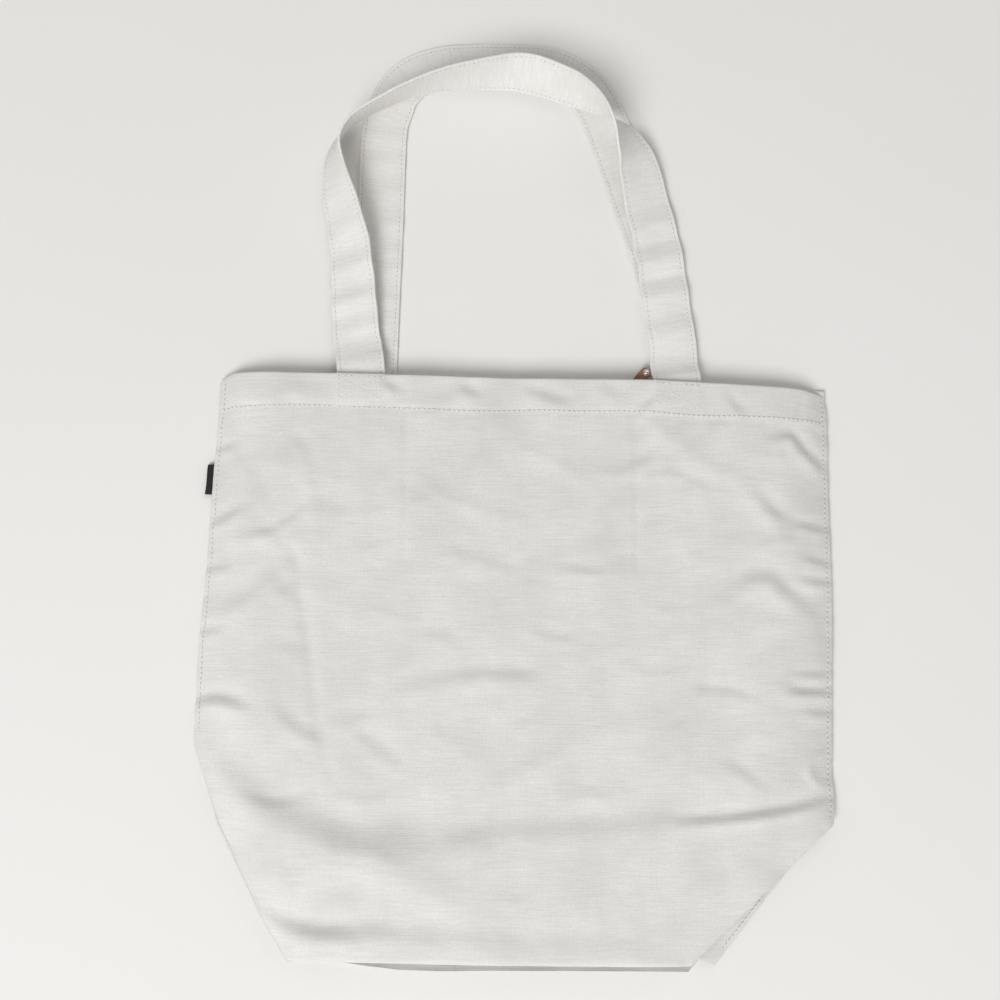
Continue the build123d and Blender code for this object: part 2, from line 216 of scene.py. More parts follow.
@dataclass(frozen=True)
class WovenCloth:
    """Plain-woven cotton: threads over and under in turn, uneven yarn and a soft dry face."""

    name: str
    colour: str
    # The darker colour: random mottle, and painted shade in the gaps between threads.
    mottle_and_gap_shade: str
    thread_mm: float
    relief_mm: float
    roughness: float = 0.92
    sheen: float = 0.1
    patchy: float = 0.35
    fuzz_mm: float = 1.923
    patch_mm: float = 45.45
    slub_mm: tuple[float, float] = (22.22, 1.613)

    def material(self) -> bpy.types.Material:
        """Build the cloth's material on the piece's own weave map.

        Returns:
            The new material.
        """
        material, tree, shader = new_material(self.name)
        place = add_node(tree, "ShaderNodeUVMap", {"uv_map": WEAVE_MAP}).outputs["UV"]
        weave = self.weave(tree, place)
        fuzz = add_node(tree, "ShaderNodeTexNoise",
                        {"Scale": per_metre(self.fuzz_mm), "Detail": 3.0, "Roughness": 0.7},
                        {"Vector": place}).outputs["Fac"]
        patches = add_node(tree, "ShaderNodeTexNoise",
                           {"Scale": per_metre(self.patch_mm), "Detail": 5.0, "Roughness": 0.6},
                           {"Vector": place}).outputs["Fac"]
        long_way = add_node(tree, "ShaderNodeMapping",
                            {"Scale": (per_metre(self.slub_mm[0]), per_metre(self.slub_mm[1]), 1.0)},
                            {"Vector": place})
        slubs = add_node(tree, "ShaderNodeTexNoise", {"Scale": 1.0, "Detail": 1.0},
                         {"Vector": long_way.outputs["Vector"]}).outputs["Fac"]
        # Gaps between threads are painted a touch darker, as painted shade, and raw cotton is never one
        # even colour.
        share = None
        for value, low, high, least in ((patches, 0.3, 0.7, 1 - self.patchy), (fuzz, 0.3, 0.7, 0.55),
                                        (weave, 0.0, 0.8, 0.6), (slubs, 0.35, 0.6, 0.75)):
            part = add_node(tree, "ShaderNodeMapRange",
                            {"From Min": low, "From Max": high, "To Min": least},
                            {"Value": value}).outputs[0]
            share = part if share is None else add_node(tree, "ShaderNodeMath", {"operation": "MULTIPLY"},
                                                        {"0": share, "1": part}).outputs[0]
        # Inputs 6 and 7 of a mix node are its two colours.
        tone = add_node(tree, "ShaderNodeMix",
                        {"data_type": "RGBA", "6": linear(self.mottle_and_gap_shade), "7": linear(self.colour)},
                        {"0": share})
        tree.links.new(tone.outputs[2], shader.inputs["Base Color"])
        height = weave
        for value, amount in ((slubs, 0.8), (fuzz, 0.9)):
            height = add_node(tree, "ShaderNodeMath", {"operation": "MULTIPLY_ADD", "1": amount},
                              {"0": value, "2": height}).outputs[0]
        bump = add_node(tree, "ShaderNodeBump", {"Strength": 0.7, "Distance": self.relief_mm * MM},
                        {"Height": height})
        tree.links.new(bump.outputs["Normal"], shader.inputs["Normal"])
        shader.inputs["Roughness"].default_value = self.roughness
        shader.inputs["Sheen Weight"].default_value = self.sheen
        shader.inputs["Sheen Roughness"].default_value = 0.5
        return material

    def weave(self, tree: bpy.types.NodeTree, place: bpy.types.NodeSocket) -> bpy.types.NodeSocket:
        """Build the rise of threads that pass over and under each other in turn.

        Args:
            tree: The material's node tree.
            place: Where on the cut cloth each point is.

        Returns:
            The rise, from 0 in the gaps to about 1 on a thread.
        """
        # A wave passes a turn in 0.314 / scale metres, and one turn is two threads.
        scale = 0.314 / (2 * self.thread_mm * MM)
        sides = []
        for way in ("X", "Y"):
            wave = add_node(tree, "ShaderNodeTexWave",
                            {"wave_type": "BANDS", "bands_direction": way, "Scale": scale,
                             "Distortion": 2.4, "Detail": 2.0, "Detail Scale": 0.3}, {"Vector": place})
            sides.append(add_node(tree, "ShaderNodeMath",
                                  {"operation": "MULTIPLY_ADD", "1": 2.0, "2": -1.0},
                                  {"0": wave.outputs["Fac"]}).outputs[0])
        # The product changes sign from one crossing to the next, as over and under do.
        over = add_node(tree, "ShaderNodeMath", {"operation": "MULTIPLY"},
                        {"0": sides[0], "1": sides[1]}).outputs[0]
        swell = add_node(tree, "ShaderNodeMath", {"operation": "ABSOLUTE"}, {"0": over}).outputs[0]
        bulge = add_node(tree, "ShaderNodeMath", {"operation": "POWER", "1": 0.5},
                         {"0": swell}).outputs[0]
        return add_node(tree, "ShaderNodeMath", {"operation": "MULTIPLY_ADD", "1": 0.12},
                        {"0": over, "2": bulge}).outputs[0]


@dataclass(frozen=True)
class Leather:
    """Vegetable tanned leather: warm brown, pebbled grain, darker where it is worn and cut."""

    name: str
    colour: str
    worn: str
    grain_mm: float
    cloud_mm: float = 7.143

    def material(self) -> bpy.types.Material:
        """Build the leather's material on object coordinates.

        Returns:
            The new material.
        """
        material, tree, shader = new_material(self.name)
        place = add_node(tree, "ShaderNodeTexCoord").outputs["Object"]
        cells = add_node(tree, "ShaderNodeTexVoronoi",
                         {"feature": "DISTANCE_TO_EDGE", "Scale": per_metre(self.grain_mm)},
                         {"Vector": place}).outputs["Distance"]
        cloud = add_node(tree, "ShaderNodeTexNoise", {"Scale": per_metre(self.cloud_mm), "Detail": 5.0},
                         {"Vector": place}).outputs["Fac"]
        rubbed = add_node(tree, "ShaderNodeMapRange", {"From Min": 0.35, "From Max": 0.7},
                          {"Value": cloud}).outputs[0]
        colour = add_node(tree, "ShaderNodeMix",
                          {"data_type": "RGBA", "6": linear(self.worn), "7": linear(self.colour)},
                          {"0": rubbed})
        tree.links.new(colour.outputs[2], shader.inputs["Base Color"])
        gloss = add_node(tree, "ShaderNodeMapRange", {"To Min": 0.42, "To Max": 0.6}, {"Value": cloud})
        tree.links.new(gloss.outputs[0], shader.inputs["Roughness"])
        bump = add_node(tree, "ShaderNodeBump", {"Strength": 0.5, "Distance": 0.15 * MM},
                        {"Height": cells})
        tree.links.new(bump.outputs["Normal"], shader.inputs["Normal"])
        return material


@dataclass(frozen=True)
class PlatedMetal:
    """Nickel plate over brass or zinc: pale, slightly warm, with fine polishing marks."""

    name: str
    colour: str
    dull: str
    roughness: float
    mark_mm: float = 0.35

    def material(self) -> bpy.types.Material:
        """Build the metal's material on object coordinates.

        Returns:
            The new material.
        """
        material, tree, shader = new_material(self.name)
        place = add_node(tree, "ShaderNodeTexCoord").outputs["Object"]
        marks = add_node(tree, "ShaderNodeTexNoise",
                         {"Scale": per_metre(self.mark_mm), "Detail": 3.0},
                         {"Vector": place}).outputs["Fac"]
        tone = add_node(tree, "ShaderNodeMix",
                        {"data_type": "RGBA", "6": linear(self.dull), "7": linear(self.colour)},
                        {"0": marks})
        tree.links.new(tone.outputs[2], shader.inputs["Base Color"])
        gloss = add_node(tree, "ShaderNodeMapRange",
                         {"To Min": self.roughness * 0.8, "To Max": self.roughness * 1.3}, {"Value": marks})
        tree.links.new(gloss.outputs[0], shader.inputs["Roughness"])
        bump = add_node(tree, "ShaderNodeBump", {"Strength": 0.15, "Distance": 0.03 * MM},
                        {"Height": marks})
        tree.links.new(bump.outputs["Normal"], shader.inputs["Normal"])
        shader.inputs["Metallic"].default_value = 1.0
        return material


class Finish(Enum):
    """The finishes that the bag is made in."""

    # Unbleached cotton duck: off-white and dry, with cloudy patches and slubs. Real duck has about 18
    # threads in 10 mm. Here it is drawn near 10, so that it shows.
    CANVAS = WovenCloth("woven_cotton_canvas", "#f0f0ef", "#d1cdc7", 1.05, 0.15, patchy=0.5)
    # The same duck, folded double and pressed. Its colour is painted a little whiter as painted light, so
    # the lit handle arch comes out brighter, and its mottle is a little smoother.
    STRAP = WovenCloth("woven_cotton_strap_canvas", "#f8f8f7", "#d8d4cd", 1.05, 0.15, patchy=0.45)
    # Thinner pocket cloth, coloured darker as painted shade for its place inside the bag.
    LINING = WovenCloth("woven_cotton_lining", "#dcd7cd", "#bdb6aa", 0.9, 0.15)
    # Close, ribbed zip tape, flatter than the canvas.
    TAPE = WovenCloth("woven_zip_tape", "#ddd8cf", "#bab3a7", 0.8, 0.2)
    # Black polyester label weave: fine, dense and faintly glossy.
    LABEL = WovenCloth("woven_black_label", "#1d1d1f", "#0b0b0c", 0.6, 0.12, 0.75, 0.02)
    # Spun thread, a touch whiter than the cloth: partly the thread's own colour, partly a painted highlight
    # so that each stitch catches the light.
    THREAD = WovenCloth("spun_cotton_thread", "#f3f1ed", "#d9d4cc", 0.5, 0.05)
    # Painted shade: each needle hole is a small pit in the cloth, drawn as a dark bead in this dark colour.
    HOLE = WovenCloth("shaded_needle_hole", "#b5aea4", "#958d83", 0.5, 0.05)
    # Warm red-brown hide with pebbled grain, and its burnished darker edge.
    LEATHER = Leather("vegetable_tanned_leather", "#a3745a", "#7c5440", 0.8)
    EDGE_LEATHER = Leather("cut_leather_edge", "#7a4630", "#54301f", 0.5)
    # Nickel plate: satin on the zip's small castings, bright on the rivet, brushed on the snap.
    ZIP_METAL = PlatedMetal("nickel_plated_zinc", "#c9c6bf", "#a9a59d", 0.32)
    CAP_METAL = PlatedMetal("polished_nickel_cap", "#f0eee9", "#d9d6cf", 0.16)
    SNAP_METAL = PlatedMetal("brushed_nickel_snap", "#c8c4bb", "#a7a298", 0.36)

    def material(self) -> bpy.types.Material:
        """Return the finish's material, made once."""
        return bpy.data.materials.get(self.value.name) or self.value.material()


# --- piece building -----------------------------------------------------------------------------
def box_mm(node: str) -> tuple[Vector, Vector]:
    """Return a frame node's lowest and highest corners in millimetres."""
    low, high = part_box(node)
    return low / MM, high / MM


def settle(piece: bpy.types.Object, body: str, slot: str, *nodes: str) -> None:
    """Let a piece ride on a body and stand for frame nodes, which it hides.

    Args:
        piece: The piece.
        body: The body that it moves with.
        slot: A material slot's name. It is not used.
        nodes: The frame nodes that it replaces, if any.
    """
    if nodes:
        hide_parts(*nodes)
    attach(piece, body)


def finish_modifiers(piece: bpy.types.Object) -> None:
    """Turn a piece's modifiers into its mesh.

    Args:
        piece: The object to finish.
    """
    graph = bpy.context.evaluated_depsgraph_get()
    made = bpy.data.meshes.new_from_object(piece.evaluated_get(graph), preserve_all_data_layers=True,
                                           depsgraph=graph)
    piece.modifiers.clear()
    piece.data = made


def new_piece(name: str, mesh_source: bmesh.types.BMesh, finish: Finish) -> bpy.types.Object:
    """Make an object of a bmesh, give it its finish and shade it smooth.

    Args:
        name: The piece's name.
        mesh_source: The built shape, in metres. It is freed.
        finish: What the piece is made of.

    Returns:
        The new object, linked to the scene.
    """
    mesh = bpy.data.meshes.new(name)
    mesh_source.to_mesh(mesh)
    mesh_source.free()
    piece = bpy.data.objects.new(name, mesh)
    bpy.context.scene.collection.objects.link(piece)
    mesh.materials.append(finish.material())
    for face in mesh.polygons:
        face.use_smooth = True
    return piece


def cloth_piece(name: str, across: int, along: int, shape: Shape, finish: Finish,
                thickness: float, outward: float = -1.0, thin: Callable | None = None) -> bpy.types.Object:
    """Make a sheet of cloth from a grid that a shape function lays out.

    Args:
        name: The piece's name.
        across: Grid steps across the cloth.
        along: Grid steps along the cloth.
        shape: Takes shares across and along, and gives places and flat places in millimetres.
        finish: What the cloth is.
        thickness: The cloth's thickness in millimetres.
        outward: The thickness offset: -1 keeps the given surface as the outer face.
        thin: Takes shares across and along, and gives the share of full thickness.

    Returns:
        The finished piece, with its weave map.
    """
    sheet = bmesh.new()
    bmesh.ops.create_grid(sheet, x_segments=across, y_segments=along, size=0.5)
    sheet.verts.ensure_lookup_table()
    grid = np.array([v.co for v in sheet.verts])
    u, v = grid[:, 0] + 0.5, grid[:, 1] + 0.5
    places, flat = shape(u, v)
    for vert, place in zip(sheet.verts, places * MM):
        vert.co = place
    weave = sheet.loops.layers.uv.new(WEAVE_MAP)
    flat = flat * MM
    for face in sheet.faces:
        for loop in face.loops:
            loop[weave].uv = flat[loop.vert.index]
    piece = new_piece(name, sheet, finish)
    wall = piece.modifiers.new("cloth", "SOLIDIFY")
    wall.thickness = thickness * MM
    wall.offset = outward
    if thin is not None:
        group = piece.vertex_groups.new(name="full")
        for index, share in enumerate(thin(u, v)):
            group.add([index], float(share), "REPLACE")
        wall.vertex_group = group.name
    rim = piece.modifiers.new("rim", "BEVEL")
    rim.width = thickness * 0.3 * MM
    rim.segments = 2
    rim.limit_method = "ANGLE"
    rim.angle_limit = math.radians(55)
    finish_modifiers(piece)
    return piece


def add_bead(mesh: bmesh.types.BMesh, place: Matrix, radii: Sequence[float], around: int,
             rings: int) -> None:
    """Add a flattened ball to a mesh.

    Args:
        mesh: The mesh to add to.
        place: Its place and turn, in metres.
        radii: Its three radii in millimetres.
        around: Faces round it.
        rings: Rows of faces from pole to pole.
    """
    size = Matrix.Diagonal((radii[0] * MM, radii[1] * MM, radii[2] * MM, 1.0))
    bmesh.ops.create_uvsphere(mesh, u_segments=around, v_segments=rings, radius=1.0, matrix=place @ size)


def stitch_row(name: str, path: Points, ups: Points, length: float = 2.5, gap: float = 1.1,
               width: float = 0.85, sink: float = 0.05, holes: bool = True) -> bpy.types.Object:
    """Sew a row of stitches along a sampled line, with a dark bead of painted needle-hole shade between
    each two.

    Args:
        name: The row's name.
        path: Close samples of the line on the cloth's surface, in millimetres.
        ups: The cloth's outward direction at each sample.
        length: Length of one stitch.
        gap: Space between two stitches.
        width: The thread's width.
        sink: How far the thread is drawn into the cloth.
        holes: Whether the dark beads of painted needle-hole shade are added.

    Returns:
        One object that holds every stitch of the row.
    """
    steps = np.linalg.norm(np.diff(path, axis=0), axis=1)
    travelled = np.concatenate([[0.0], np.cumsum(steps)])
    count = max(1, int(travelled[-1] / (length + gap)))
    pitch = travelled[-1] / count

    def local_frame(middle: float, reach: float) -> Matrix:
        """Find a place on the row, and the axes there.

        Args:
            middle: Distance along the row.
            reach: How far each way the row's direction is taken from.

        Returns:
            The place in metres, with a turn to axes across, along and out of the cloth.
        """
        near = [np.array([np.interp(middle + shift, travelled, path[:, axis]) for axis in range(3)])
                for shift in (-reach, 0.0, reach)]
        up = Vector([np.interp(middle, travelled, ups[:, axis]) for axis in range(3)]).normalized()
        ahead = Vector(near[2] - near[0]).normalized()
        side = up.cross(ahead).normalized()
        up = ahead.cross(side)
        turn = Matrix((-side, ahead, up)).transposed().to_4x4()
        return Matrix.Translation((Vector(near[1]) - up * sink) * MM) @ turn

    row = bmesh.new()
    for first in range(0, count + 1, STITCH_BATCH):
        # A batch at a time, because an operator goes over everything that its mesh holds.
        few = bmesh.new()
        for i in range(first, min(first + STITCH_BATCH, count)):
            add_bead(few, local_frame((i + 0.5) * pitch, 0.5 * length),
                     (width * 0.5, length * 0.5, width * 0.45), 6, 4)
        thread_faces = len(few.faces)
        # Dark beads between the stitches paint the shade in the needle holes.
        for i in range(first, min(first + STITCH_BATCH, count + 1) if holes else first):
            add_bead(few, local_frame(i * pitch, 0.4), NEEDLE_HOLE, 6, 3)
        for index, face in enumerate(few.faces):
            face.material_index = int(index >= thread_faces)
        bmesh.ops.recalc_face_normals(few, faces=few.faces)
        part = bpy.data.meshes.new("few_stitches")
        few.to_mesh(part)
        few.free()
        row.from_mesh(part)
        bpy.data.meshes.remove(part)
    weave = row.loops.layers.uv.new(WEAVE_MAP)
    for face in row.faces:
        for loop in face.loops:
            loop[weave].uv = (loop.vert.co.x, loop.vert.co.y)
    piece = new_piece(name, row, Finish.THREAD)
    # Second slot: painted shade for the needle-hole beads.
    piece.data.materials.append(Finish.HOLE.material())
    return piece


def joined_rows(name: str, rows: Sequence[bpy.types.Object]) -> bpy.types.Object:
    """Join several rows of stitches into one piece.

    Args:
        name: The joined piece's name.
        rows: The rows, which are removed.

    Returns:
        The joined piece.
    """
    together = bmesh.new()
    for row in rows:
        together.from_mesh(row.data)
        bpy.data.objects.remove(row)
    piece = new_piece(name, together, Finish.THREAD)
    # Second slot: painted shade for the needle-hole beads.
    piece.data.materials.append(Finish.HOLE.material())
    return piece


# --- what the frame gives -------------------------------------------------------------------------
@dataclass
class BagFrame:
    """Sizes and places read from the frame, in millimetres."""

    half_width: float = field(init=False)
    mouth_y: float = field(init=False)
    bottom_y: float = field(init=False)
    back_bottom_y: float = field(init=False)
    top_z: float = field(init=False)
    handle_top_y: float = field(init=False)
    leg_x: float = field(init=False)
    strap_width: float = field(init=False)
    strap_low_z: float = field(init=False)
    back_strap_z: float = field(init=False)
    hem_depth: float = field(init=False)
    back_leg_x: float = field(init=False)

    def __post_init__(self) -> None:
        """Read the boxes of the panels, hems and handles."""
        low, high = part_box("front_panel")
        self.half_width = high.x / MM
        self.mouth_y = high.y / MM
        self.bottom_y = low.y / MM
        self.top_z = high.z / MM
        self.back_bottom_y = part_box("back_panel")[0].y / MM
        self.handle_top_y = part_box("back_handle")[1].y / MM
        low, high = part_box("front_strap_end_right")
        self.leg_x = (low.x + high.x) / 2 / MM
        self.strap_width = (high.x - low.x) / MM
        self.strap_low_z = (low.z + high.z) / 2 / MM
        low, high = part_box("back_strap_end_left")
        self.back_leg_x = (low.x + high.x) / 2 / MM
        self.back_strap_z = high.z / MM
        low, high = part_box("front_hem")
        self.hem_depth = (high.y - low.y) / MM

    @property
    def handle_rise(self) -> float:
        """From the mouth's edge to the top of the back handle."""
        return self.handle_top_y - self.mouth_y


# --- body cloth ---------------------------------------------------------------------------------------
class Bend(Enum):
    """How cloth stands beside a crease's line."""

    RIDGE = "ridge"
    STEP = "step"


@dataclass(frozen=True)
class Crease:
    """One crease: a line across the cloth, how high it stands and how wide it is."""

    line: tuple[tuple[float, float], ...]
    height: float
    width: float
    bend: Bend = Bend.STEP

    def lift(self, x: np.ndarray, y: np.ndarray) -> np.ndarray:
        """Height that the crease adds at each place.

        Args:
            x: Places across, in millimetres.
            y: Places along.

        Returns:
            Heights in millimetres. A step is high to the right of its line and low to the left.
        """
        lifted = np.zeros_like(x)
        length = float(np.linalg.norm(np.diff(np.array(self.line, float), axis=0), axis=1).sum())
        line = curve_through(self.line, int(length / 0.9) + 12)
        reach = self.width * 4
        near = ((x > line[:, 0].min() - reach) & (x < line[:, 0].max() + reach)
                & (y > line[:, 1].min() - reach) & (y < line[:, 1].max() + reach))
        if not near.any():
            return lifted
        side, past, share = from_line(x[near], y[near], line)
        taper = np.sin(np.clip(share, 0.03, 0.97) * math.pi) ** 0.4 * mound(past, self.width)
        across = side / self.width
        if self.bend is Bend.RIDGE:
            profile = mound(across, 1.0)
        else:
            profile = -across * np.exp(0.5 - across ** 2 / 2)
        lifted[near] = self.height * taper * profile
        return lifted


R = Bend.RIDGE
FRONT_CREASES = (
    # The folded base lifts the cloth across the lower third.
    Crease(((-214, -190), (-190, -218), (-164, -236), (-137, -247), (-106, -257), (-70, -258), (-30, -254)),
           1.7, 13),
    Crease(((-30, -254), (26, -248), (70, -245), (112, -242)), 0.5, 7),
    Crease(((112, -243), (135, -241), (161, -238), (195, -232), (216, -226)), 1.7, 4),
    Crease(((120, -206), (150, -214), (178, -216)), 1.3, 13, R),
    Crease(((145, -204), (158, -211), (170, -220)), 0.5, 4),
    Crease(((-150, -286), (-112, -274), (-76, -283), (-36, -300)), 2.3, 13, R),
    Crease(((-172, -300), (-152, -313), (-118, -318), (-82, -314)), 1.5, 6),
    Crease(((-172, -300), (-155, -317), (-110, -321), (-60, -319), (10, -322), (90, -325)), 0.7, 7),
    # Left side.
    Crease(((-177, -44), (-156, -65), (-150, -96), (-144, -124), (-140, -151), (-135, -179), (-127, -211)),
           -1.1, 5, R),
    Crease(((-166, -170), (-150, -184), (-134, -192)), 0.7, 5),
    Crease(((-212, -50), (-190, -54), (-168, -52)), 1.5, 8, R),
    Crease(((-209, -104), (-190, -94), (-168, -72)), 1.0, 7),
    Crease(((-157, 12), (-149, -18), (-142, -46)), 0.9, 6, R),
    Crease(((-206, 22), (-194, 30)), -0.9, 12, R),
    Crease(((-184, -6), (-174, -20)), -0.8, 11, R),
    Crease(((-160, 16), (-152, 26)), -0.8, 9, R),
    Crease(((-222, 13), (-204, 15)), 0.9, 3.5),
    Crease(((-222, -42), (-208, -37), (-196, -30)), 1.2, 4.5),
    Crease(((-222, -74), (-203, -73)), 0.9, 3.5),
    Crease(((-224, -119), (-208, -118)), 0.8, 3.5),
    Crease(((-225, -168), (-206, -165), (-187, -170)), 1.8, 5),
    # Middle.
    Crease(((-92, -162), (-52, -149), (-10, -145), (14, -149)), 0.9, 6),
    Crease(((-124, -178), (-97, -176)), 0.5, 5),
    Crease(((-112, -184), (-95, -196), (-76, -210)), 0.6, 5),
    Crease(((-52, -246), (-22, -231), (29, -201), (63, -185), (87, -181), (120, -174)), 1.0, 8, R),
    Crease(((-13, -226), (-22, -256), (-32, -290)), 0.6, 6, R),
    Crease(((123, -213), (100, -247), (66, -292)), 0.8, 6, R),
    Crease(((-76, -2), (-47, -24), (2, -37)), 0.45, 4, R),
    Crease(((5, 16), (32, 2), (60, -15)), 0.45, 5, R),
    Crease(((-52, -59), (-30, -63), (-8, -70)), 0.5, 5),
    Crease(((-8, -66), (10, -52)), 0.4, 4, R),
    Crease(((34, -70), (60, -73)), 0.6, 4),
    # Right side.
    Crease(((207, 64), (204, 52), (200, 40)), -0.9, 3, R),
    Crease(((184, 28), (196, 31), (205, 20), (221, 5)), 1.5, 4.5),
    Crease(((90, 42), (113, 22), (141, 1), (159, -12), (185, -44)), 1.0, 8, R),
    Crease(((170, -16), (192, -37)), 0.9, 5),
    Crease(((146, -90), (162, -77), (178, -75), (190, -85), (208, -97)), 1.4, 7),
    Crease(((196, -36), (222, -39)), 1.0, 3.5),
    Crease(((203, -61), (223, -63)), 0.9, 3.5),
    Crease(((200, -76), (222, -77)), 1.0, 3.5),
    Crease(((194, -143), (222, -142)), 1.1, 3.5),
    Crease(((188, -155), (222, -153)), 1.5, 4),
    Crease(((202, -169), (221, -168)), 1.1, 3.5),
    Crease(((138, -126), (134, -148), (131, -166)), -0.8, 6, R),
    Crease(((219, -194), (207, -199), (202, -207), (208, -216), (222, -221)), 1.1, 3, R),
    Crease(((-98, 63), (-86, 56)), 0.9, 4),
    Crease(((-44, 63), (-30, 54)), 0.8, 5),
    Crease(((150, 60), (162, 46)), 0.7, 4),
    Crease(((60, 62), (74, 56)), 0.5, 5),
    # Hem.
    Crease(((6, 60), (34, 51)), 0.9, 5),
    Crease(((83, 40), (100, 58)), 1.0, 3.5),
    Crease(((-170, 62), (-140, 55)), 0.5, 6),
    Crease(((-60, 52), (-30, 60)), 0.5, 6),
)


def faint_creases(count: int, seed: int) -> tuple[Crease, ...]:
    """Short faint creases all over a panel, such as handling leaves in canvas.

    Args:
        count: How many creases to lay.
        seed: Picks their places.

    Returns:
        The creases.
    """
    draw = np.random.default_rng(seed)
    made = []
    for _ in range(count):
        x, y = draw.uniform(-195, 200), draw.uniform(-315, 35)
        turn, length = draw.normal(0.15, 0.5), draw.uniform(18, 62)
        bow = draw.uniform(-0.18, 0.18) * length
        dx, dy = math.cos(turn) * length / 2, math.sin(turn) * length / 2
        middle = (x - dy * bow / length, y + dx * bow / length + bow / 2)
        line = ((x - dx, y - dy), middle, (x + dx, y + dy))
        made.append(Crease(line, draw.uniform(0.18, 0.5), draw.uniform(3.0, 6.5),
                           Bend.RIDGE if draw.random() < 0.4 else Bend.STEP))
    return tuple(made)


# Enough of them to leave no smooth patch as wide as a hand.
FAINT_CREASES = faint_creases(70, 4)


@dataclass(frozen=True)
class PressedPrint:
    """How far the things inside the bag print through the front panel, in millimetres."""

    left_edge: float = -0.75
    right_edge: float = -0.55
    low_edge: float = 0.2
    pocket: float = 0.35
    strap_end: float = 0.55
    snap: float = 0.35
    snap_radius: float = 5.0
    lean: float = 0.02


@dataclass
class BodyCloth:
    """The lie of the bag's two panels: their outline, level and creases."""

    frame: BagFrame
    lip_radius: float = 3.4
    back_lip: float = 3.4
    fold_radius: float = 1.2
    facing: float = 24.0
    middle_z: float = 16.6
    side_z: float = 3.6
    corner_z: float = 9.0
    rise_width: float = 34.0
    cloth: float = 0.9
    press: float = 1.35
    mouth_reach: float = 80.0
    seam_allowance: float = 10.5
    seam_z: float = 2.55
    side_stitch_inset: float = 3.4
    hem_step: float = 0.7
    groove_depth: float = 0.5
    groove_width: float = 2.2
    groove_beat: float = 9.7
    pucker_height: float = 0.32
    pucker_reach: float = 8.0
    base_rise: float = 2.2
    prints: PressedPrint = PressedPrint()
    # Heights of the waves in the cloth, with their sizes and the seeds that place them.
    unevenness: tuple = ((1.1, 150.0, 3), (0.6, 52.0, 11), (0.3, 27.0, 5), (0.08, 11.0, 9))
    # Outlines: places across and along on the sides, and across with the run there on the edges.
    left_side: tuple = ((-150.5, -337.0), (-170.0, -306.0), (-202.0, -246.0), (-222.6, -192.0),
                        (-223.4, -138.0), (-220.8, -68.0), (-219.6, 5.0), (-217.2, 72.0))
    right_side: tuple = ((120.0, -337.0), (219.6, -243.0), (221.4, -228.0), (220.6, -205.0),
                         (224.6, -76.0), (224.4, -24.0), (224.8, 58.0), (222.0, 72.0))
    mouth_line: tuple = ((-217.0, -1.8), (-208.0, 1.4), (-135.0, 0.9), (-9.0, -1.2), (95.0, -1.2),
                         (150.0, -3.0), (205.0, -5.2), (222.0, -7.6))
    lip_line: tuple = ((-150.0, 3.4), (-122.0, 3.0), (-100.0, 0.2), (-76.0, -2.2), (-50.0, -2.8),
                       (-18.0, -2.0), (40.0, -1.2), (112.0, -0.6))
    base_line: tuple = ((-214, -196), (-164, -236), (-106, -258), (-30, -254), (102, -243), (216, -230))

    def edges(self, y: np.ndarray) -> tuple[np.ndarray, np.ndarray]:
        """Left and right edges of the front panel at each height y."""
        left, right = np.array(self.left_side), np.array(self.right_side)
        return np.interp(y, left[:, 1], left[:, 0]), np.interp(y, right[:, 1], right[:, 0])

    def mouth_shift(self, x: np.ndarray) -> np.ndarray:
        """How far the mouth's edge runs above or below its mean line."""
        line = np.array(self.mouth_line)
        return np.interp(x, line[:, 0], line[:, 1])

    def near_mouth(self, y: np.ndarray) -> np.ndarray:
        """Share of the mouth's run that a place takes, 1 at the mouth and 0 well below it."""
        return smooth((y - self.frame.mouth_y + self.mouth_reach) / self.mouth_reach)

    def edge_distance(self, x: np.ndarray, y: np.ndarray) -> np.ndarray:
        """Measure how far in from the nearer side edge each place is.

        Args:
            x: Places across, in millimetres.
            y: Places along.

        Returns:
            Distances in millimetres.
        """
        gaps = []
        for outline in (self.left_side, self.right_side):
            knots = np.array(outline)
            samples = np.vstack([np.linspace(a, b, 24) for a, b in zip(knots, knots[1:])])
            away = (x[:, None] - samples[None, :, 0]) ** 2 + (y[:, None] - samples[None, :, 1]) ** 2
            gaps.append(np.sqrt(away.min(axis=1)))
        return np.minimum(*gaps)

    def pocket_print(self, x: np.ndarray, y: np.ndarray) -> np.ndarray:
        """Print the pocket's edges, handle ends and snap faintly through the front panel.

        Args:
            x: Places across, in millimetres.
            y: Places along.

        Returns:
            The relief in millimetres.
        """
        low, high = box_mm("pocket_panel")
        hem_line = self.frame.mouth_y - self.frame.hem_depth
        inside = smooth((y - low.y) / 12) * smooth((hem_line - y) / 3)
        lean = (y - low.y) * self.prints.lean
        printed = self.prints.left_edge * mound(x - low.x - 3 + lean, 1.6) * inside
        printed += self.prints.right_edge * mound(x - high.x + 1 + lean, 2.0) * inside
        between = smooth((x - low.x) / 6) * smooth((high.x - x) / 6)
        printed += self.prints.low_edge * mound(y - low.y - 2, 3.2) * between
        printed += self.prints.pocket * smooth((y - low.y) / 3) * smooth((hem_line - y) / 3) * between
        for centre in (-self.frame.leg_x, self.frame.leg_x):
            beside = smooth((self.frame.strap_width / 2 - np.abs(x - centre)) / 2 + 0.5)
            behind_hem = smooth((y - self.frame.mouth_y + self.frame.hem_depth - 5) / 2)
            printed += self.prints.strap_end * beside * behind_hem
        snap_low, snap_high = box_mm("snap_socket")
        middle = (snap_low + snap_high) / 2
        ring = np.hypot(x - middle.x, y - middle.y + 1.0) - self.prints.snap_radius
        printed += self.prints.snap * mound(ring, 1.2) * smooth((middle.x - x) / 6 + 0.8)
        return printed

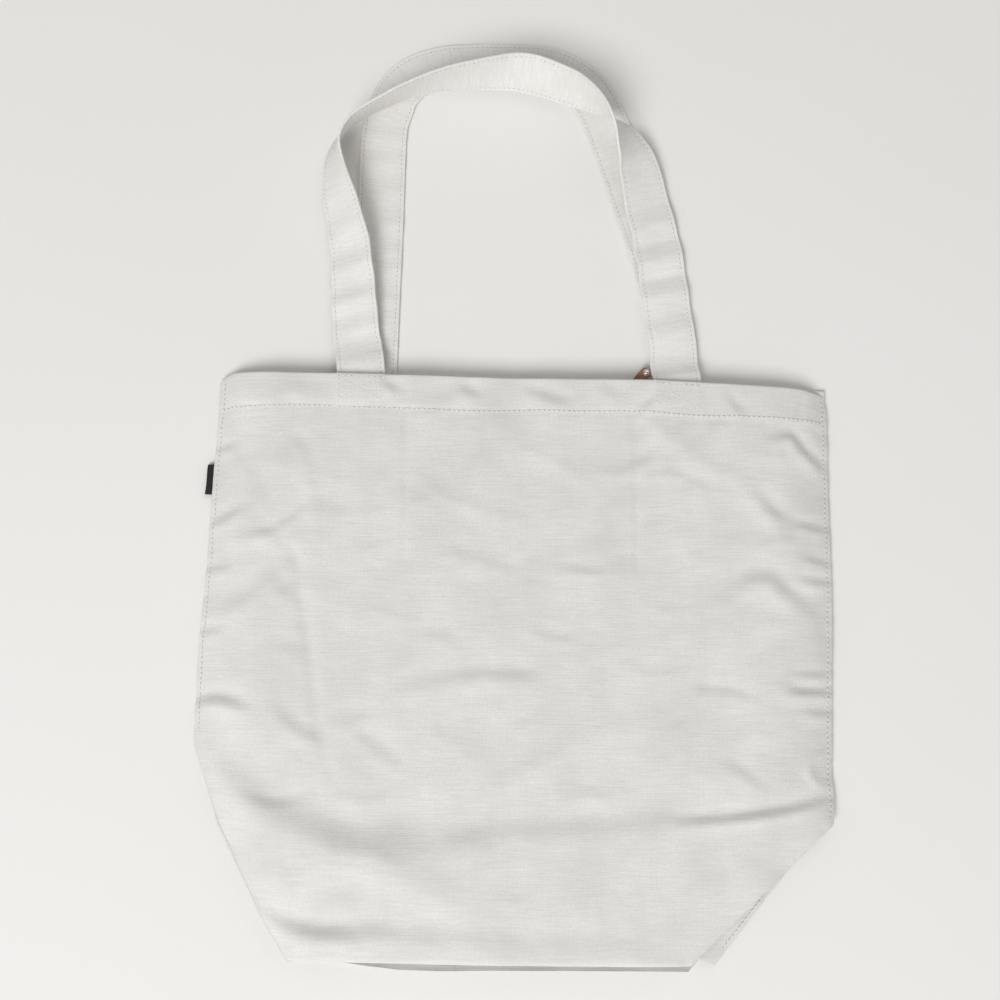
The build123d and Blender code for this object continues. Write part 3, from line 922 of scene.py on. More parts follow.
    def hem_relief(self, x: np.ndarray, y: np.ndarray) -> np.ndarray:
        """Raise the hem's double thickness, and pull the groove of its stitches.

        Args:
            x: Places across, in millimetres.
            y: Places along.

        Returns:
            The relief in millimetres.
        """
        line = self.hem_line(x)
        step = self.hem_step * smooth((y - line) / self.groove_width + 0.5)
        pull = 1 + 0.5 * np.sin(x * 2 * math.pi / self.groove_beat)
        return step - self.groove_depth * mound(y - line, self.groove_width) * pull

    def hem_line(self, x: np.ndarray) -> np.ndarray:
        """Where the hem's stitches run."""
        wander = 0.6 * np.sin(x / 31.0) + 0.4 * np.sin(x / 13.0 + 1.0)
        return self.frame.mouth_y - self.frame.hem_depth + self.mouth_shift(x) * 0.8 + wander

    def gathers(self, x: np.ndarray, y: np.ndarray, away: np.ndarray) -> np.ndarray:
        """Draw up small puckers along the side seams.

        Args:
            x: Places across, in millimetres.
            y: Places along.
            away: Distance in from the nearer side edge.

        Returns:
            The relief in millimetres.
        """
        wave = np.sin(y / 3.1 + 1.7 * np.sin(y / 17.0) + x * 0.02) + 0.6 * np.sin(y / 5.7 + 2.0)
        bunch = 0.35 + 0.65 * smooth(np.sin(y / 23.0 + np.sign(x)) * 0.8 + 0.4)
        return self.pucker_height * wave * bunch * np.exp(-(away / self.pucker_reach) ** 1.5)

    def height(self, x: np.ndarray, y: np.ndarray) -> np.ndarray:
        """Level of the front panel's outer face.

        Args:
            x: Places across, in millimetres.
            y: Places along.

        Returns:
            Heights above the floor, in millimetres.
        """
        away = self.edge_distance(x, y)
        corner = smooth((-190.0 - y) / 120.0)
        edge_z = self.side_z + (self.corner_z - self.side_z) * corner
        width = self.rise_width - 16.0 * corner
        level = edge_z + (self.middle_z - edge_z) * (1 - np.exp(-2.2 * (away / width) ** 1.15))
        fold_line = np.array(self.base_line, float)
        below_fold = np.interp(x, fold_line[:, 0], fold_line[:, 1]) - y
        level += self.base_rise * smooth(below_fold / 26 + 0.4)
        for amount, size, seed in self.unevenness:
            level += amount * rolling(x, y, size, seed)
        level += self.pocket_print(x, y) + self.hem_relief(x, y) + self.gathers(x, y, away)
        for crease in FRONT_CREASES + FAINT_CREASES:
            level += self.press * crease.lift(x, y)
        return np.minimum(level, self.frame.top_z + 6.0)

    def front_shape(self, u: np.ndarray, v: np.ndarray) -> tuple[Points, Points]:
        """Lay out the front panel from the lip at its bottom to the facing behind its mouth.

        Args:
            u: Shares across the cloth.
            v: Shares along it, from the lip's hidden edge.

        Returns:
            Places, and flat places on the cut cloth, in millimetres.
        """
        lip, fold = self.lip_radius, self.fold_radius
        low_y, high_y = self.frame.bottom_y + lip, self.frame.mouth_y - fold
        lengths = [math.pi * lip, high_y - low_y, math.pi * fold, self.facing]
        marks = np.concatenate([[0.0], np.cumsum(lengths)])
        # Rows of the grid are shared out between the lip, the panel, the fold and the facing.
        s = np.interp(v, (0.0, 0.045, 0.905, 0.94, 1.0), marks)
        y, drop = np.zeros_like(s), np.zeros_like(s)
        in_lip, in_panel = s < marks[1], (s >= marks[1]) & (s < marks[2])
        in_fold, in_facing = (s >= marks[2]) & (s < marks[3]), s >= marks[3]
        turn = (s[in_lip] / lip) - math.pi / 2
        y[in_lip] = low_y - lip * np.cos(turn)
        drop[in_lip] = lip * (np.sin(turn) - 1)
        y[in_panel] = low_y + s[in_panel] - marks[1]
        turn = math.pi / 2 - (s[in_fold] - marks[2]) / fold
        y[in_fold] = high_y + fold * np.cos(turn)
        drop[in_fold] = fold * (np.sin(turn) - 1)
        y[in_facing] = high_y - (s[in_facing] - marks[3])
        drop[in_facing] = -2 * fold
        left, right = self.edges(np.clip(y, self.frame.bottom_y, self.frame.mouth_y))
        x = left + (right - left) * u
        x = x + np.where(in_facing, np.sign(0.5 - u) * 1.5 * smooth(np.abs(u - 0.5) * 20 - 9), 0.0)
        z = self.height(x, np.clip(y, low_y, high_y)) + drop
        y = y + self.mouth_shift(x) * self.near_mouth(y)
        sag = 0.9 * np.cos((x + 15) / 92) * smooth((self.frame.bottom_y + 60 - y) / 60)
        return np.column_stack([x, y - sag, z]), np.column_stack([x, s])

    def surface(self, x: np.ndarray, y: np.ndarray) -> tuple[Points, Points]:
        """Points on the front panel's face, and the directions that it faces.

        Args:
            x: Places across, in millimetres.
            y: Places along, before the mouth's own run is added.

        Returns:
            The points and their outward directions.
        """
        z = self.height(x, y)
        slope_x = (self.height(x + 0.5, y) - self.height(x - 0.5, y))
        slope_y = (self.height(x, y + 0.5) - self.height(x, y - 0.5))
        shifted = y + self.mouth_shift(x) * self.near_mouth(y)
        return np.column_stack([x, shifted, z]), np.column_stack([-slope_x, -slope_y, np.ones_like(x)])

    def back_shape(self, u: np.ndarray, v: np.ndarray) -> tuple[Points, Points]:
        """Lay out the back panel on the floor, with its own facing turned up inside the mouth.

        Args:
            u: Shares across the cloth.
            v: Shares along it, from the bottom edge.

        Returns:
            Places, and flat places on the cut cloth, in millimetres.
        """
        fold = self.fold_radius
        low_y, high_y = self.frame.back_bottom_y, self.frame.mouth_y - fold
        lengths = [high_y - low_y, math.pi * fold, self.facing]
        marks = np.concatenate([[0.0], np.cumsum(lengths)])
        s = np.interp(v, (0.0, 0.90, 0.935, 1.0), marks)
        y, rise = low_y + s, np.zeros_like(s)
        in_fold, in_facing = (s >= marks[1]) & (s < marks[2]), s >= marks[2]
        turn = (s[in_fold] - marks[1]) / fold - math.pi / 2
        y[in_fold] = high_y + fold * np.cos(turn)
        rise[in_fold] = fold * (np.sin(turn) + 1)
        y[in_facing] = high_y - (s[in_facing] - marks[2])
        rise[in_facing] = 2 * fold
        shown = np.clip(y + 4.5 * smooth((low_y + 40 - y) / 40), self.frame.bottom_y, self.frame.mouth_y)
        left, right = self.edges(shown)
        x = left + 0.6 + (right - left - 1.2) * u
        away = np.minimum(x - left, right - x)
        waves = 0.5 + 0.35 * rolling(x, y, 60.0, 21) + 0.15 * rolling(x, y, 22.0, 8)
        z = 0.15 + np.clip(waves, 0.0, 1.4) * smooth(away / 14) + rise
        z = z + self.back_lip * smooth((low_y + 2.6 - y) / 2.4) * (1 + 0.12 * np.sin(x / 9.0))
        y = y + self.lip_shift(x) * smooth((low_y + 26 - y) / 26)
        y = y + (self.mouth_shift(x) - 0.5) * self.near_mouth(y)
        return np.column_stack([x, y, z]), np.column_stack([x, s])

    def lip_shift(self, x: np.ndarray) -> np.ndarray:
        """Move the back's lower edge: drawn in at the left corner, furthest out left of the middle."""
        line = np.array(self.lip_line)
        return np.interp(x, line[:, 0], line[:, 1])

    def build_panels(self) -> list[bpy.types.Object]:
        """Make the front and back panels, each one cloth with its hem turned in.

        Returns:
            The two pieces.
        """
        front = cloth_piece("front_panel_cloth", 190, 196, self.front_shape, Finish.CANVAS, self.cloth)
        settle(front, "bag", "canvas", "front_panel", "front_hem")
        back = cloth_piece("back_panel_cloth", 130, 140, self.back_shape, Finish.CANVAS, self.cloth,
                           outward=1.0)
        settle(back, "bag", "canvas", "back_panel", "back_hem")
        log.info("panels: front and back canvas with their hems")
        return [front, back]

    def build_seams(self) -> None:
        """Make the turned-in side seams between the panels."""
        for side, outline, inward in (("left", self.left_side, 1), ("right", self.right_side, -1)):
            knots = np.array([p for p in outline if p[1] > self.frame.bottom_y + 5])
            knots = knots[(knots[:, 1] > -250) & (knots[:, 1] < self.frame.mouth_y - 1)]
            line = np.vstack([knots, [knots[-1][0], self.frame.mouth_y - 4]])

            def shape(u: np.ndarray, v: np.ndarray) -> tuple[Points, Points]:
                """Lay the seam allowance just inside the panels' edge.

                Args:
                    u: Shares across the allowance, from the edge in.
                    v: Shares along the seam.

                Returns:
                    Places, and flat places on the cut cloth, in millimetres.
                """
                y = line[0][1] + (line[-1][1] - line[0][1]) * v
                x = np.interp(y, line[:, 1], line[:, 0]) + inward * (0.7 + self.seam_allowance * u)
                z = self.seam_z + 0.5 * u + 0.18 * np.sin(y / 4.3)
                return np.column_stack([x, y, z]), np.column_stack([u * self.seam_allowance, y])

            seam = cloth_piece(f"{side}_seam_cloth", 5, 120, shape, Finish.CANVAS, 1.5, outward=0.0)
            settle(seam, "bag", "canvas", f"{side}_side_seam")
        log.info("side seams: left and right")

    def build_stitching(self) -> None:
        """Sew the hem, side and handle-end stitches on the front panel."""
        x = np.linspace(-214, 219, 900)
        path, ups = self.surface(x, self.hem_line(x) - self.mouth_shift(x) * 0.95)
        hem = stitch_row("front_hem_stitches", path, ups, sink=-0.22)
        settle(hem, "bag", "thread", "front_hem_stitching")
        for side, outline, inward, lowest, nodes in (
                ("left", self.left_side, 1, -185, ("side_seam_stitching",)),
                ("right", self.right_side, -1, -238, ())):
            knots = np.array(outline)
            y = np.linspace(lowest, self.frame.mouth_y - 6, 600)
            inset = self.side_stitch_inset + 0.25 * np.sin(y / 6)
            path, ups = self.surface(np.interp(y, knots[:, 1], knots[:, 0]) + inward * inset, y)
            row = stitch_row(f"{side}_side_stitches", path, ups, sink=-0.1)
            settle(row, "bag", "thread", *nodes)
        parts = self.box_parts(-self.frame.leg_x) + self.box_parts(self.frame.leg_x)
        settle(joined_rows("handle_box_stitches", parts), "bag", "thread", "strap_box_stitching")
        log.info("stitching: hem, sides and handle ends")

    def box_parts(self, centre: float) -> list[bpy.types.Object]:
        """Sew one handle end: a box with a cross in it, and a tack at each upper corner.

        Args:
            centre: The middle of the strap's leg, across.

        Returns:
            One row of stitches for each straight run.
        """
        half = self.frame.strap_width / 2 - 2.4
        top, low = self.frame.mouth_y - 3.4, self.frame.mouth_y - self.frame.hem_depth + 5.5
        box = [((-half, top), (half, top)), ((half, top), (half, low)), ((half, low), (-half, low)),
               ((-half, low), (-half, top)), ((-half, top), (half, low)), ((half, top), (-half, low))]
        tacks = [((-half, top + 1.1), (-half + 9, top + 1.1)), ((half - 9, top + 1.1), (half, top + 1.1))]
        parts = []
        share = np.linspace(0, 1, 60)
        for (ax, ay), (bx, by) in box + tacks:
            path, ups = self.surface(centre + ax + (bx - ax) * share, ay + (by - ay) * share)
            # Only the tacks pierce the outer cloth, so only they get dark beads of painted needle-hole
            # shade. The box shows through the cloth as a print.
            pierced = len(parts) >= len(box)
            parts.append(stitch_row("box_part", path, ups, width=0.65, sink=-0.06, holes=pierced))
        return parts


# --- base and corners -------------------------------------------------------------------------------
@dataclass
class BaseFold:
    """The base, folded in between the panels as a lying V."""

    frame: BagFrame
    body: BodyCloth
    depth: float = 70.0
    left_x: float = -144.0
    right_x: float = 112.0

    def shape(self, u: np.ndarray, v: np.ndarray) -> tuple[Points, Points]:
        """Lay the base from under the front lip in to its fold and out to the back panel's edge.

        Args:
            u: Shares across the base.
            v: Shares along it, from the front edge.

        Returns:
            Places, and flat places on the cut cloth, in millimetres.
        """
        low_y = self.frame.bottom_y
        route = curve_through(((low_y + 3.0, 10.6), (low_y + 14, 9.6), (low_y + 45, 8.6),
                               (low_y + self.depth - 3, 7.4), (low_y + self.depth, 5.8),
                               (low_y + self.depth - 3, 4.4), (low_y + 40, 3.2), (low_y + 10, 2.4),
                               (low_y + 1.5, 1.9)), 120)
        at = np.clip(v, 0, 1) * 119
        y = np.interp(at, np.arange(120), route[:, 0])
        z = np.interp(at, np.arange(120), route[:, 1])
        inset = smooth((y - low_y) / self.depth) * 4.0
        x = self.left_x + inset + (self.right_x - self.left_x - 2 * inset) * u
        z = z + 0.25 * rolling(x, y, 40.0, 17)
        y = y + np.maximum(self.body.lip_shift(x), 0.0)
        return np.column_stack([x, y, z]), np.column_stack([x, v * 150])

    def build(self) -> None:
        """Make the folded base."""
        base = cloth_piece("base_cloth", 70, 110, self.shape, Finish.CANVAS, 0.9, outward=0.0)
        settle(base, "bag", "canvas", "base_panel")
        log.info("base: folded in between the panels")


@dataclass
class CornerGusset:
    """The triangle of cloth folded flat behind one slanted bottom corner."""

    name: str
    node: str
    outer: tuple
    inner: tuple
    level: tuple[float, float]
    stitched: bool

    def shape(self, u: np.ndarray, v: np.ndarray) -> tuple[Points, Points]:
        """Lay the gusset between its outer edge and a line hidden under the front panel.

        Args:
            u: Shares in from the outer edge.
            v: Shares along the slant, from its upper end.

        Returns:
            Places, and flat places on the cut cloth, in millimetres.
        """
        outer, inner = np.array(self.outer, float), np.array(self.inner, float)
        marks = np.linspace(0, 1, len(outer))
        out_xy = np.column_stack([np.interp(v, marks, outer[:, k]) for k in (0, 1)])
        in_xy = np.column_stack([np.interp(v, marks, inner[:, k]) for k in (0, 1)])
        xy = out_xy + (in_xy - out_xy) * u[:, None]
        z = self.level[0] + (self.level[1] - self.level[0]) * smooth(u)
        z = z + 0.25 * np.sin(v * 19 + u * 3) * (1 - u) + 0.2 * np.sin(v * 41)
        return np.column_stack([xy, z]), xy

    def build(self) -> None:
        """Make the gusset, and its stitched edge where it shows."""
        cloth = cloth_piece(self.name, 16, 60, self.shape, Finish.CANVAS, 1.6, outward=0.0)
        settle(cloth, "bag", "canvas", self.node)
        if self.stitched:
            v = np.linspace(0.03, 0.9, 300)
            at, _ = self.shape(np.full_like(v, 0.09), v)
            at[:, 2] += 0.95
            row = stitch_row(self.name.replace("cloth", "stitches"), at, np.tile((0.0, 0.0, 1.0), (300, 1)))
            settle(row, "bag", "thread")
        log.info("corner: %s", self.name)


# Each one's outer edge runs from the side seam down to the base, and so does its hidden line.
CORNERS = (
    CornerGusset("right_corner_cloth", "right_corner_gusset",
                 ((219.0, -232.0), (196.0, -265.0), (166.0, -301.0), (137.0, -337.0)),
                 ((196.0, -222.0), (172.0, -250.0), (140.0, -285.0), (104.0, -326.0)),
                 (4.6, 7.0), True),
    CornerGusset("left_corner_cloth", "left_corner_gusset",
                 ((-222.4, -196.0), (-202.8, -250.0), (-172.0, -308.0), (-151.0, -340.0)),
                 ((-200.0, -190.0), (-182.0, -242.0), (-152.0, -296.0), (-130.0, -330.0)),
                 (3.0, 6.0), False),
)


# --- handles ----------------------------------------------------------------------------------------
@dataclass(frozen=True)
class Station:
    """A place on a handle: its lower edge, level, lean up from flat and curl across the strap."""

    across: float
    along: float
    level: float
    lean: float
    curl: float = 0.0


@dataclass
class Handle:
    """A doubled canvas strap with both edges stitched, sewn at its ends behind a hem."""

    name: str
    body: str
    nodes: tuple[str, ...]
    frame: BagFrame
    stations: tuple[Station, ...]
    ripples: tuple[tuple[float, float, float], ...]
    blend_from: float
    blend_to: float
    thickness: float = 1.9
    inset: float = 3.0
    samples: int = 460
    ease: int = 9

    def __post_init__(self) -> None:
        """Sample the lower edge's line and the strap's lean along it."""
        rows = [(s.across * self.frame.leg_x, self.frame.mouth_y + s.along * self.frame.handle_rise,
                 s.level, s.lean, s.curl) for s in self.stations]
        route = curve_through(rows, 1600)
        steps = np.linalg.norm(np.diff(route[:, :3], axis=0), axis=1)
        travelled = np.concatenate([[0.0], np.cumsum(steps)])
        self.length = float(travelled[-1])
        even = np.linspace(0, self.length, self.samples)
        self.route = np.column_stack([np.interp(even, travelled, route[:, k]) for k in range(5)])
        ahead = np.gradient(self.route[:, :2], axis=0)
        kernel = np.ones(self.ease) / self.ease
        for k in (0, 1):
            padded = np.pad(ahead[:, k], self.ease // 2, mode="edge")
            ahead[:, k] = np.convolve(padded, kernel, mode="valid")
        self.ahead = ahead / np.linalg.norm(ahead, axis=1, keepdims=True)
        self.even = even

    def place(self, across: np.ndarray, along: np.ndarray) -> tuple[Points, Points]:
        """Points on the strap's middle surface, and the directions of its outer face.

        Args:
            across: Share from the lower edge to the other, 0 to 1.
            along: Share of the strap's length.

        Returns:
            The points in millimetres, and the outer face's directions.
        """
        at = along * self.length
        edge = np.column_stack([np.interp(at, self.even, self.route[:, k]) for k in range(5)])
        tx = np.interp(at, self.even, self.ahead[:, 0])
        ty = np.interp(at, self.even, self.ahead[:, 1])
        norm = np.hypot(tx, ty)
        inward = np.column_stack([ty / norm, -tx / norm])
        flat_run, rise = np.zeros_like(at), np.zeros_like(at)
        parts = 12
        for i in range(parts):
            mid = (i + 0.5) / parts * across
            angle = np.radians(edge[:, 3] + edge[:, 4] * (mid - 0.5))
            flat_run += np.cos(angle) * across / parts
            rise += np.sin(angle) * across / parts
        width = self.frame.strap_width
        angle = np.radians(edge[:, 3] + edge[:, 4] * (across - 0.5))
        ripple = np.zeros_like(at)
        for centre, size, spread in self.ripples:
            slant = (across - 0.5) * spread * 0.8
            ripple += size * mound(at - centre - slant, spread)
        middle = 1 - (2 * across - 1) ** 4 * 0.4
        ripple = ripple * middle + 0.16 * np.sin(at / 5.3 + across * 2) * np.sin(at / 31.0)
        normal = np.column_stack([-np.sin(angle) * inward[:, 0], -np.sin(angle) * inward[:, 1],
                                  np.cos(angle)])
        points = np.column_stack([edge[:, 0] + inward[:, 0] * flat_run * width,
                                  edge[:, 1] + inward[:, 1] * flat_run * width,
                                  edge[:, 2] + rise * width])
        return points + normal * ripple[:, None], normal

    def shape(self, u: np.ndarray, v: np.ndarray) -> tuple[Points, Points]:
        """Lay the strap's grid, with columns drawn together beside the stitch lines.

        Args:
            u: Shares across the strap.
            v: Shares along it, from its left end.

        Returns:
            Places, and flat places on the cut cloth, in millimetres.
        """
        groove = self.inset / self.frame.strap_width
        columns = np.array([0, 0.03, groove, 0.14, 0.26, 0.42, 0.58, 0.74, 0.86, 1 - groove, 0.97, 1])
        across = np.interp(u, np.linspace(0, 1, len(columns)), columns)
        points, _ = self.place(across, v)
        return points, np.column_stack([across * self.frame.strap_width, v * self.length])

    def thin(self, u: np.ndarray, v: np.ndarray) -> np.ndarray:
        """Thin the strap where the edge stitches pull its layers together.

        Args:
            u: Shares across the strap.
            v: Shares along it.

        Returns:
            Shares of full thickness.
        """
        step = 1 / 11
        pinch = mound(u - 2 * step, 0.6 * step) + mound(u - 9 * step, 0.6 * step)
        return 1 - 0.42 * pinch * (0.8 + 0.2 * np.sin(v * self.length * 2 * math.pi / 4.1))

    def build(self) -> bpy.types.Object:
        """Make the strap and its four rows of edge stitches, bending at the hem.

        Returns:
            The strap.
        """
        strap = cloth_piece(f"{self.name}_strap", 11, 300, self.shape, Finish.STRAP, self.thickness,
                            outward=0.0, thin=self.thin)
        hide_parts(*self.nodes)
        parts = []
        along = np.linspace(0.004, 0.996, 1500)
        for edge in (self.inset / self.frame.strap_width, 1 - self.inset / self.frame.strap_width):
            middle, normal = self.place(np.full_like(along, edge), along)
            for face in (1.0, -1.0):
                surface = middle + normal * (face * self.thickness * 0.33)
                parts.append(stitch_row("row_part", surface, normal * face, sink=0.0))
        sewing = joined_rows(f"{self.name}_stitches", parts)
        for piece in (strap, sewing):
            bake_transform(piece)
        log.info("%s: strap %.0f mm long", self.name, self.length)
        return strap


def front_handle(sizes: BagFrame) -> Handle:
    """Lay out the front handle, which stands on edge and flips over at both upper bends.

    Args:
        sizes: The bag's sizes.

    Returns:
        The handle, ready to build.
    """
    outer = 1 + sizes.strap_width / 2 / sizes.leg_x
    low = 4.4
    ends = sizes.strap_low_z - 1.7
    stations = (
        Station(-outer + 0.008, -0.070, ends, 0), Station(-outer + 0.004, -0.025, ends, 0),
        Station(-outer, 0.005, ends, 0), Station(-1.160, 0.036, ends - 0.5, 0),
        Station(-1.172, 0.060, low + 4.2, 1), Station(-1.180, 0.080, low + 1.8, 3),
        Station(-1.195, 0.110, low + 1.0, 5),
        Station(-1.212, 0.206, low + 0.6, 14), Station(-1.235, 0.357, low, 28, 8),
        Station(-1.280, 0.467, low, 40, 14), Station(-1.302, 0.540, low, 50, 22),
        Station(-1.300, 0.612, low, 62, 30), Station(-1.262, 0.669, low, 71, 34),
        Station(-1.175, 0.722, low, 75, 30), Station(-1.045, 0.763, low, 77, 20),
        Station(-0.905, 0.797, low, 78, 8), Station(-0.748, 0.824, low, 82, 4),
        Station(-0.515, 0.847, low, 90, 0), Station(-0.200, 0.852, low, 105, 0),
        Station(0.010, 0.844, low, 117, 0), Station(0.255, 0.812, low + 1.0, 112, 0),
        Station(0.400, 0.788, low + 4.0, 101, 0), Station(0.565, 0.758, low + 8.5, 78, 6),
        Station(0.730, 0.722, low + 9.0, 46, 18), Station(0.852, 0.668, low + 5.0, 30, 22),
        Station(0.915, 0.605, low + 2.0, 20, 20), Station(0.970, 0.520, low + 0.5, 11, 14),
        Station(1.045, 0.390, low, 4, 6), Station(1.105, 0.203, low + 0.6, 2),
        Station(1.135, 0.110, low + 1.6, 0), Station(outer - 0.012, 0.055, low + 2.6, 0),
        Station(outer - 0.006, 0.030, low + 5.2, 0),
        Station(outer, 0.008, ends - 0.4, 0), Station(outer - 0.004, -0.025, ends, 0),
        Station(outer - 0.008, -0.070, ends, 0),
    )
    ripples = ((34, -0.9, 6), (56, 0.9, 7), (66, -0.9, 6), (78, 1.2, 5), (90, -1.0, 6), (104, 1.3, 5),
               (117, -0.9, 5), (131, 1.0, 6), (148, -0.7, 7), (170, 0.6, 8), (500, 0.9, 8), (520, -1.0, 7),
               (536, 1.3, 6), (551, -1.5, 5), (566, 1.7, 6), (580, -1.5, 5), (594, 1.6, 5), (609, -1.3, 6),
               (624, 1.1, 6), (642, -1.1, 7), (660, 0.9, 6))
    return Handle("front_handle", "front_handle",
                  ("front_handle", "front_strap_end_left", "front_strap_end_right"),
                  sizes, stations, ripples, sizes.mouth_y - 3, sizes.mouth_y + 12)


def back_handle(sizes: BagFrame) -> Handle:
    """Lay out the back handle, which lies flat on the floor under the front one.

    Args:
        sizes: The bag's sizes.

    Returns:
        The handle, ready to build.
    """
    outer = 1 + sizes.strap_width / 2 / sizes.leg_x
    left = (sizes.back_leg_x - sizes.strap_width / 2) / sizes.leg_x
    low, ends = 1.15, sizes.back_strap_z - 1.2
    stations = (
        Station(left, -0.070, ends, 0), Station(left, -0.020, ends, 0), Station(left, 0.008, ends - 0.4, 0),
        Station(left, 0.036, low + 0.9, 0), Station(left, 0.062, low, 0),
        Station(left + 0.004, 0.250, low, 0), Station(left + 0.010, 0.450, low, 0),
        Station(left + 0.016, 0.720, low, 0),
        Station(-1.022, 0.812, low, 0), Station(-0.955, 0.884, low, 0),
        Station(-0.820, 0.944, low, 0), Station(-0.630, 0.981, low, 0), Station(-0.420, 0.996, low, 0),
        Station(-0.100, 1.000, low, 0), Station(0.150, 0.995, low, 0), Station(0.360, 0.965, low, 0),
        Station(0.530, 0.910, low, 0), Station(0.645, 0.835, low, 0), Station(0.720, 0.760, low, 0),
        Station(0.860, 0.585, low, 0), Station(1.030, 0.360, low, 0), Station(1.130, 0.170, low, 0),
        Station(outer - 0.004, 0.062, low, 0), Station(outer, 0.036, low + 0.9, 0),
        Station(outer, 0.008, ends - 0.4, 0), Station(outer, -0.020, ends, 0),
        Station(outer, -0.070, ends, 0),
    )
    ripples = ((46, 0.9, 4), (80, 0.8, 5), (104, 1.0, 6), (118, 0.7, 5), (140, 1.1, 6), (166, 0.8, 7),
               (190, 1.0, 7), (214, 0.8, 7), (250, 0.7, 9), (540, 0.7, 7), (566, 0.9, 6), (596, 1.0, 6),
               (624, 0.9, 5), (650, 0.9, 6), (682, 0.7, 6))
    return Handle("back_handle", "back_handle",
                  ("back_handle", "back_strap_end_left", "back_strap_end_right"),
                  sizes, stations, ripples, sizes.mouth_y + 9, sizes.mouth_y + 22, ease=37)


# --- pocket, zip, pull, snap and label ------------------------------------------------------------
@dataclass
class InnerPocket:
    """The flat zip pocket that hangs inside the front panel, with its tapes and metal."""

    cloth: float = 0.8
    lift: float = 0.65
    rim: float = 3.0
    rim_rise: float = 3.4
    tuck_drop: float = 0.95

    def sheet_over(self, name: str, node: str, finish: Finish, across: int, along: int, waves: float,
                   riser: float = 0.0, tuck: float = 0.0, rims: bool = False) -> None:
        """Lay a cloth over a frame node's place.

        Args:
            name: The new piece's name.
            node: The frame node that it stands for.
            finish: What the cloth is.
            across: Grid steps across.
            along: Grid steps along.
            waves: How uneven it lies, in millimetres.
            riser: How far its upper edge turns up to its seam.
            tuck: How far its lower edge runs on under the next cloth.
            rims: Whether its sides and bottom turn up to their seams.
        """
        low, high = box_mm(node)
        level = low.z + self.lift

        def shape(u: np.ndarray, v: np.ndarray) -> tuple[Points, Points]:
            """Lay the cloth level, with its sewn edges turned up.

            Args:
                u: Shares across the cloth.
                v: Shares along it.

            Returns:
                Places, and flat places on the cut cloth, in millimetres.
            """
            x = low.x + (high.x - low.x) * (0.003 + 0.994 * u)
            y = low.y - tuck + (high.y - low.y + tuck) * (0.003 + 0.994 * v)
            under = smooth((low.y - y) / 1.2 + 0.3) * (tuck > 0)
            z = level + waves * rolling(x, y, 55.0, 31) - self.tuck_drop * under
            if rims:
                edge = np.minimum(np.minimum(x - low.x, high.x - x), y - low.y)
                z = z + self.rim_rise * smooth((self.rim - edge) / self.rim)
            z = z + riser * smooth((y - high.y + 2.0) / 1.6)
            return np.column_stack([x, y, z]), np.column_stack([x, y])

        cloth = cloth_piece(name, across, along, shape, finish, self.cloth, outward=0.0)
        settle(cloth, "bag", "pocket_cloth" if rims else "zip_tape", node)

    def build(self) -> None:
        """Make the pocket's cloth and tapes, and finish its teeth and stops."""
        self.sheet_over("pocket_cloth", "pocket_panel", Finish.LINING, 90, 60, 0.3, rims=True)
        self.sheet_over("zip_lower_tape", "zip_tape_lower", Finish.TAPE, 60, 8, 0.0, tuck=4.0)
        self.sheet_over("zip_upper_tape", "zip_tape_upper", Finish.TAPE, 60, 14, 0.0, riser=3.4)
        for node in ("zip_teeth_lower", "zip_teeth_upper", "zip_stops", "zip_slider", "pull_eye"):
            dress(node, Finish.ZIP_METAL)
        for node in ("snap_stud", "snap_socket"):
            dress(node, Finish.SNAP_METAL)
        log.info("pocket: cloth, tapes, teeth, stops and slider; snap: stud and socket")


def dress(node: str, finish: Finish) -> None:
    """Give a frame node its finish.

    Args:
        node: The node's name.
        finish: What it is made of.
    """
    for slot in frame["nodes"][node].material_slots:
        slot.material = finish.material()


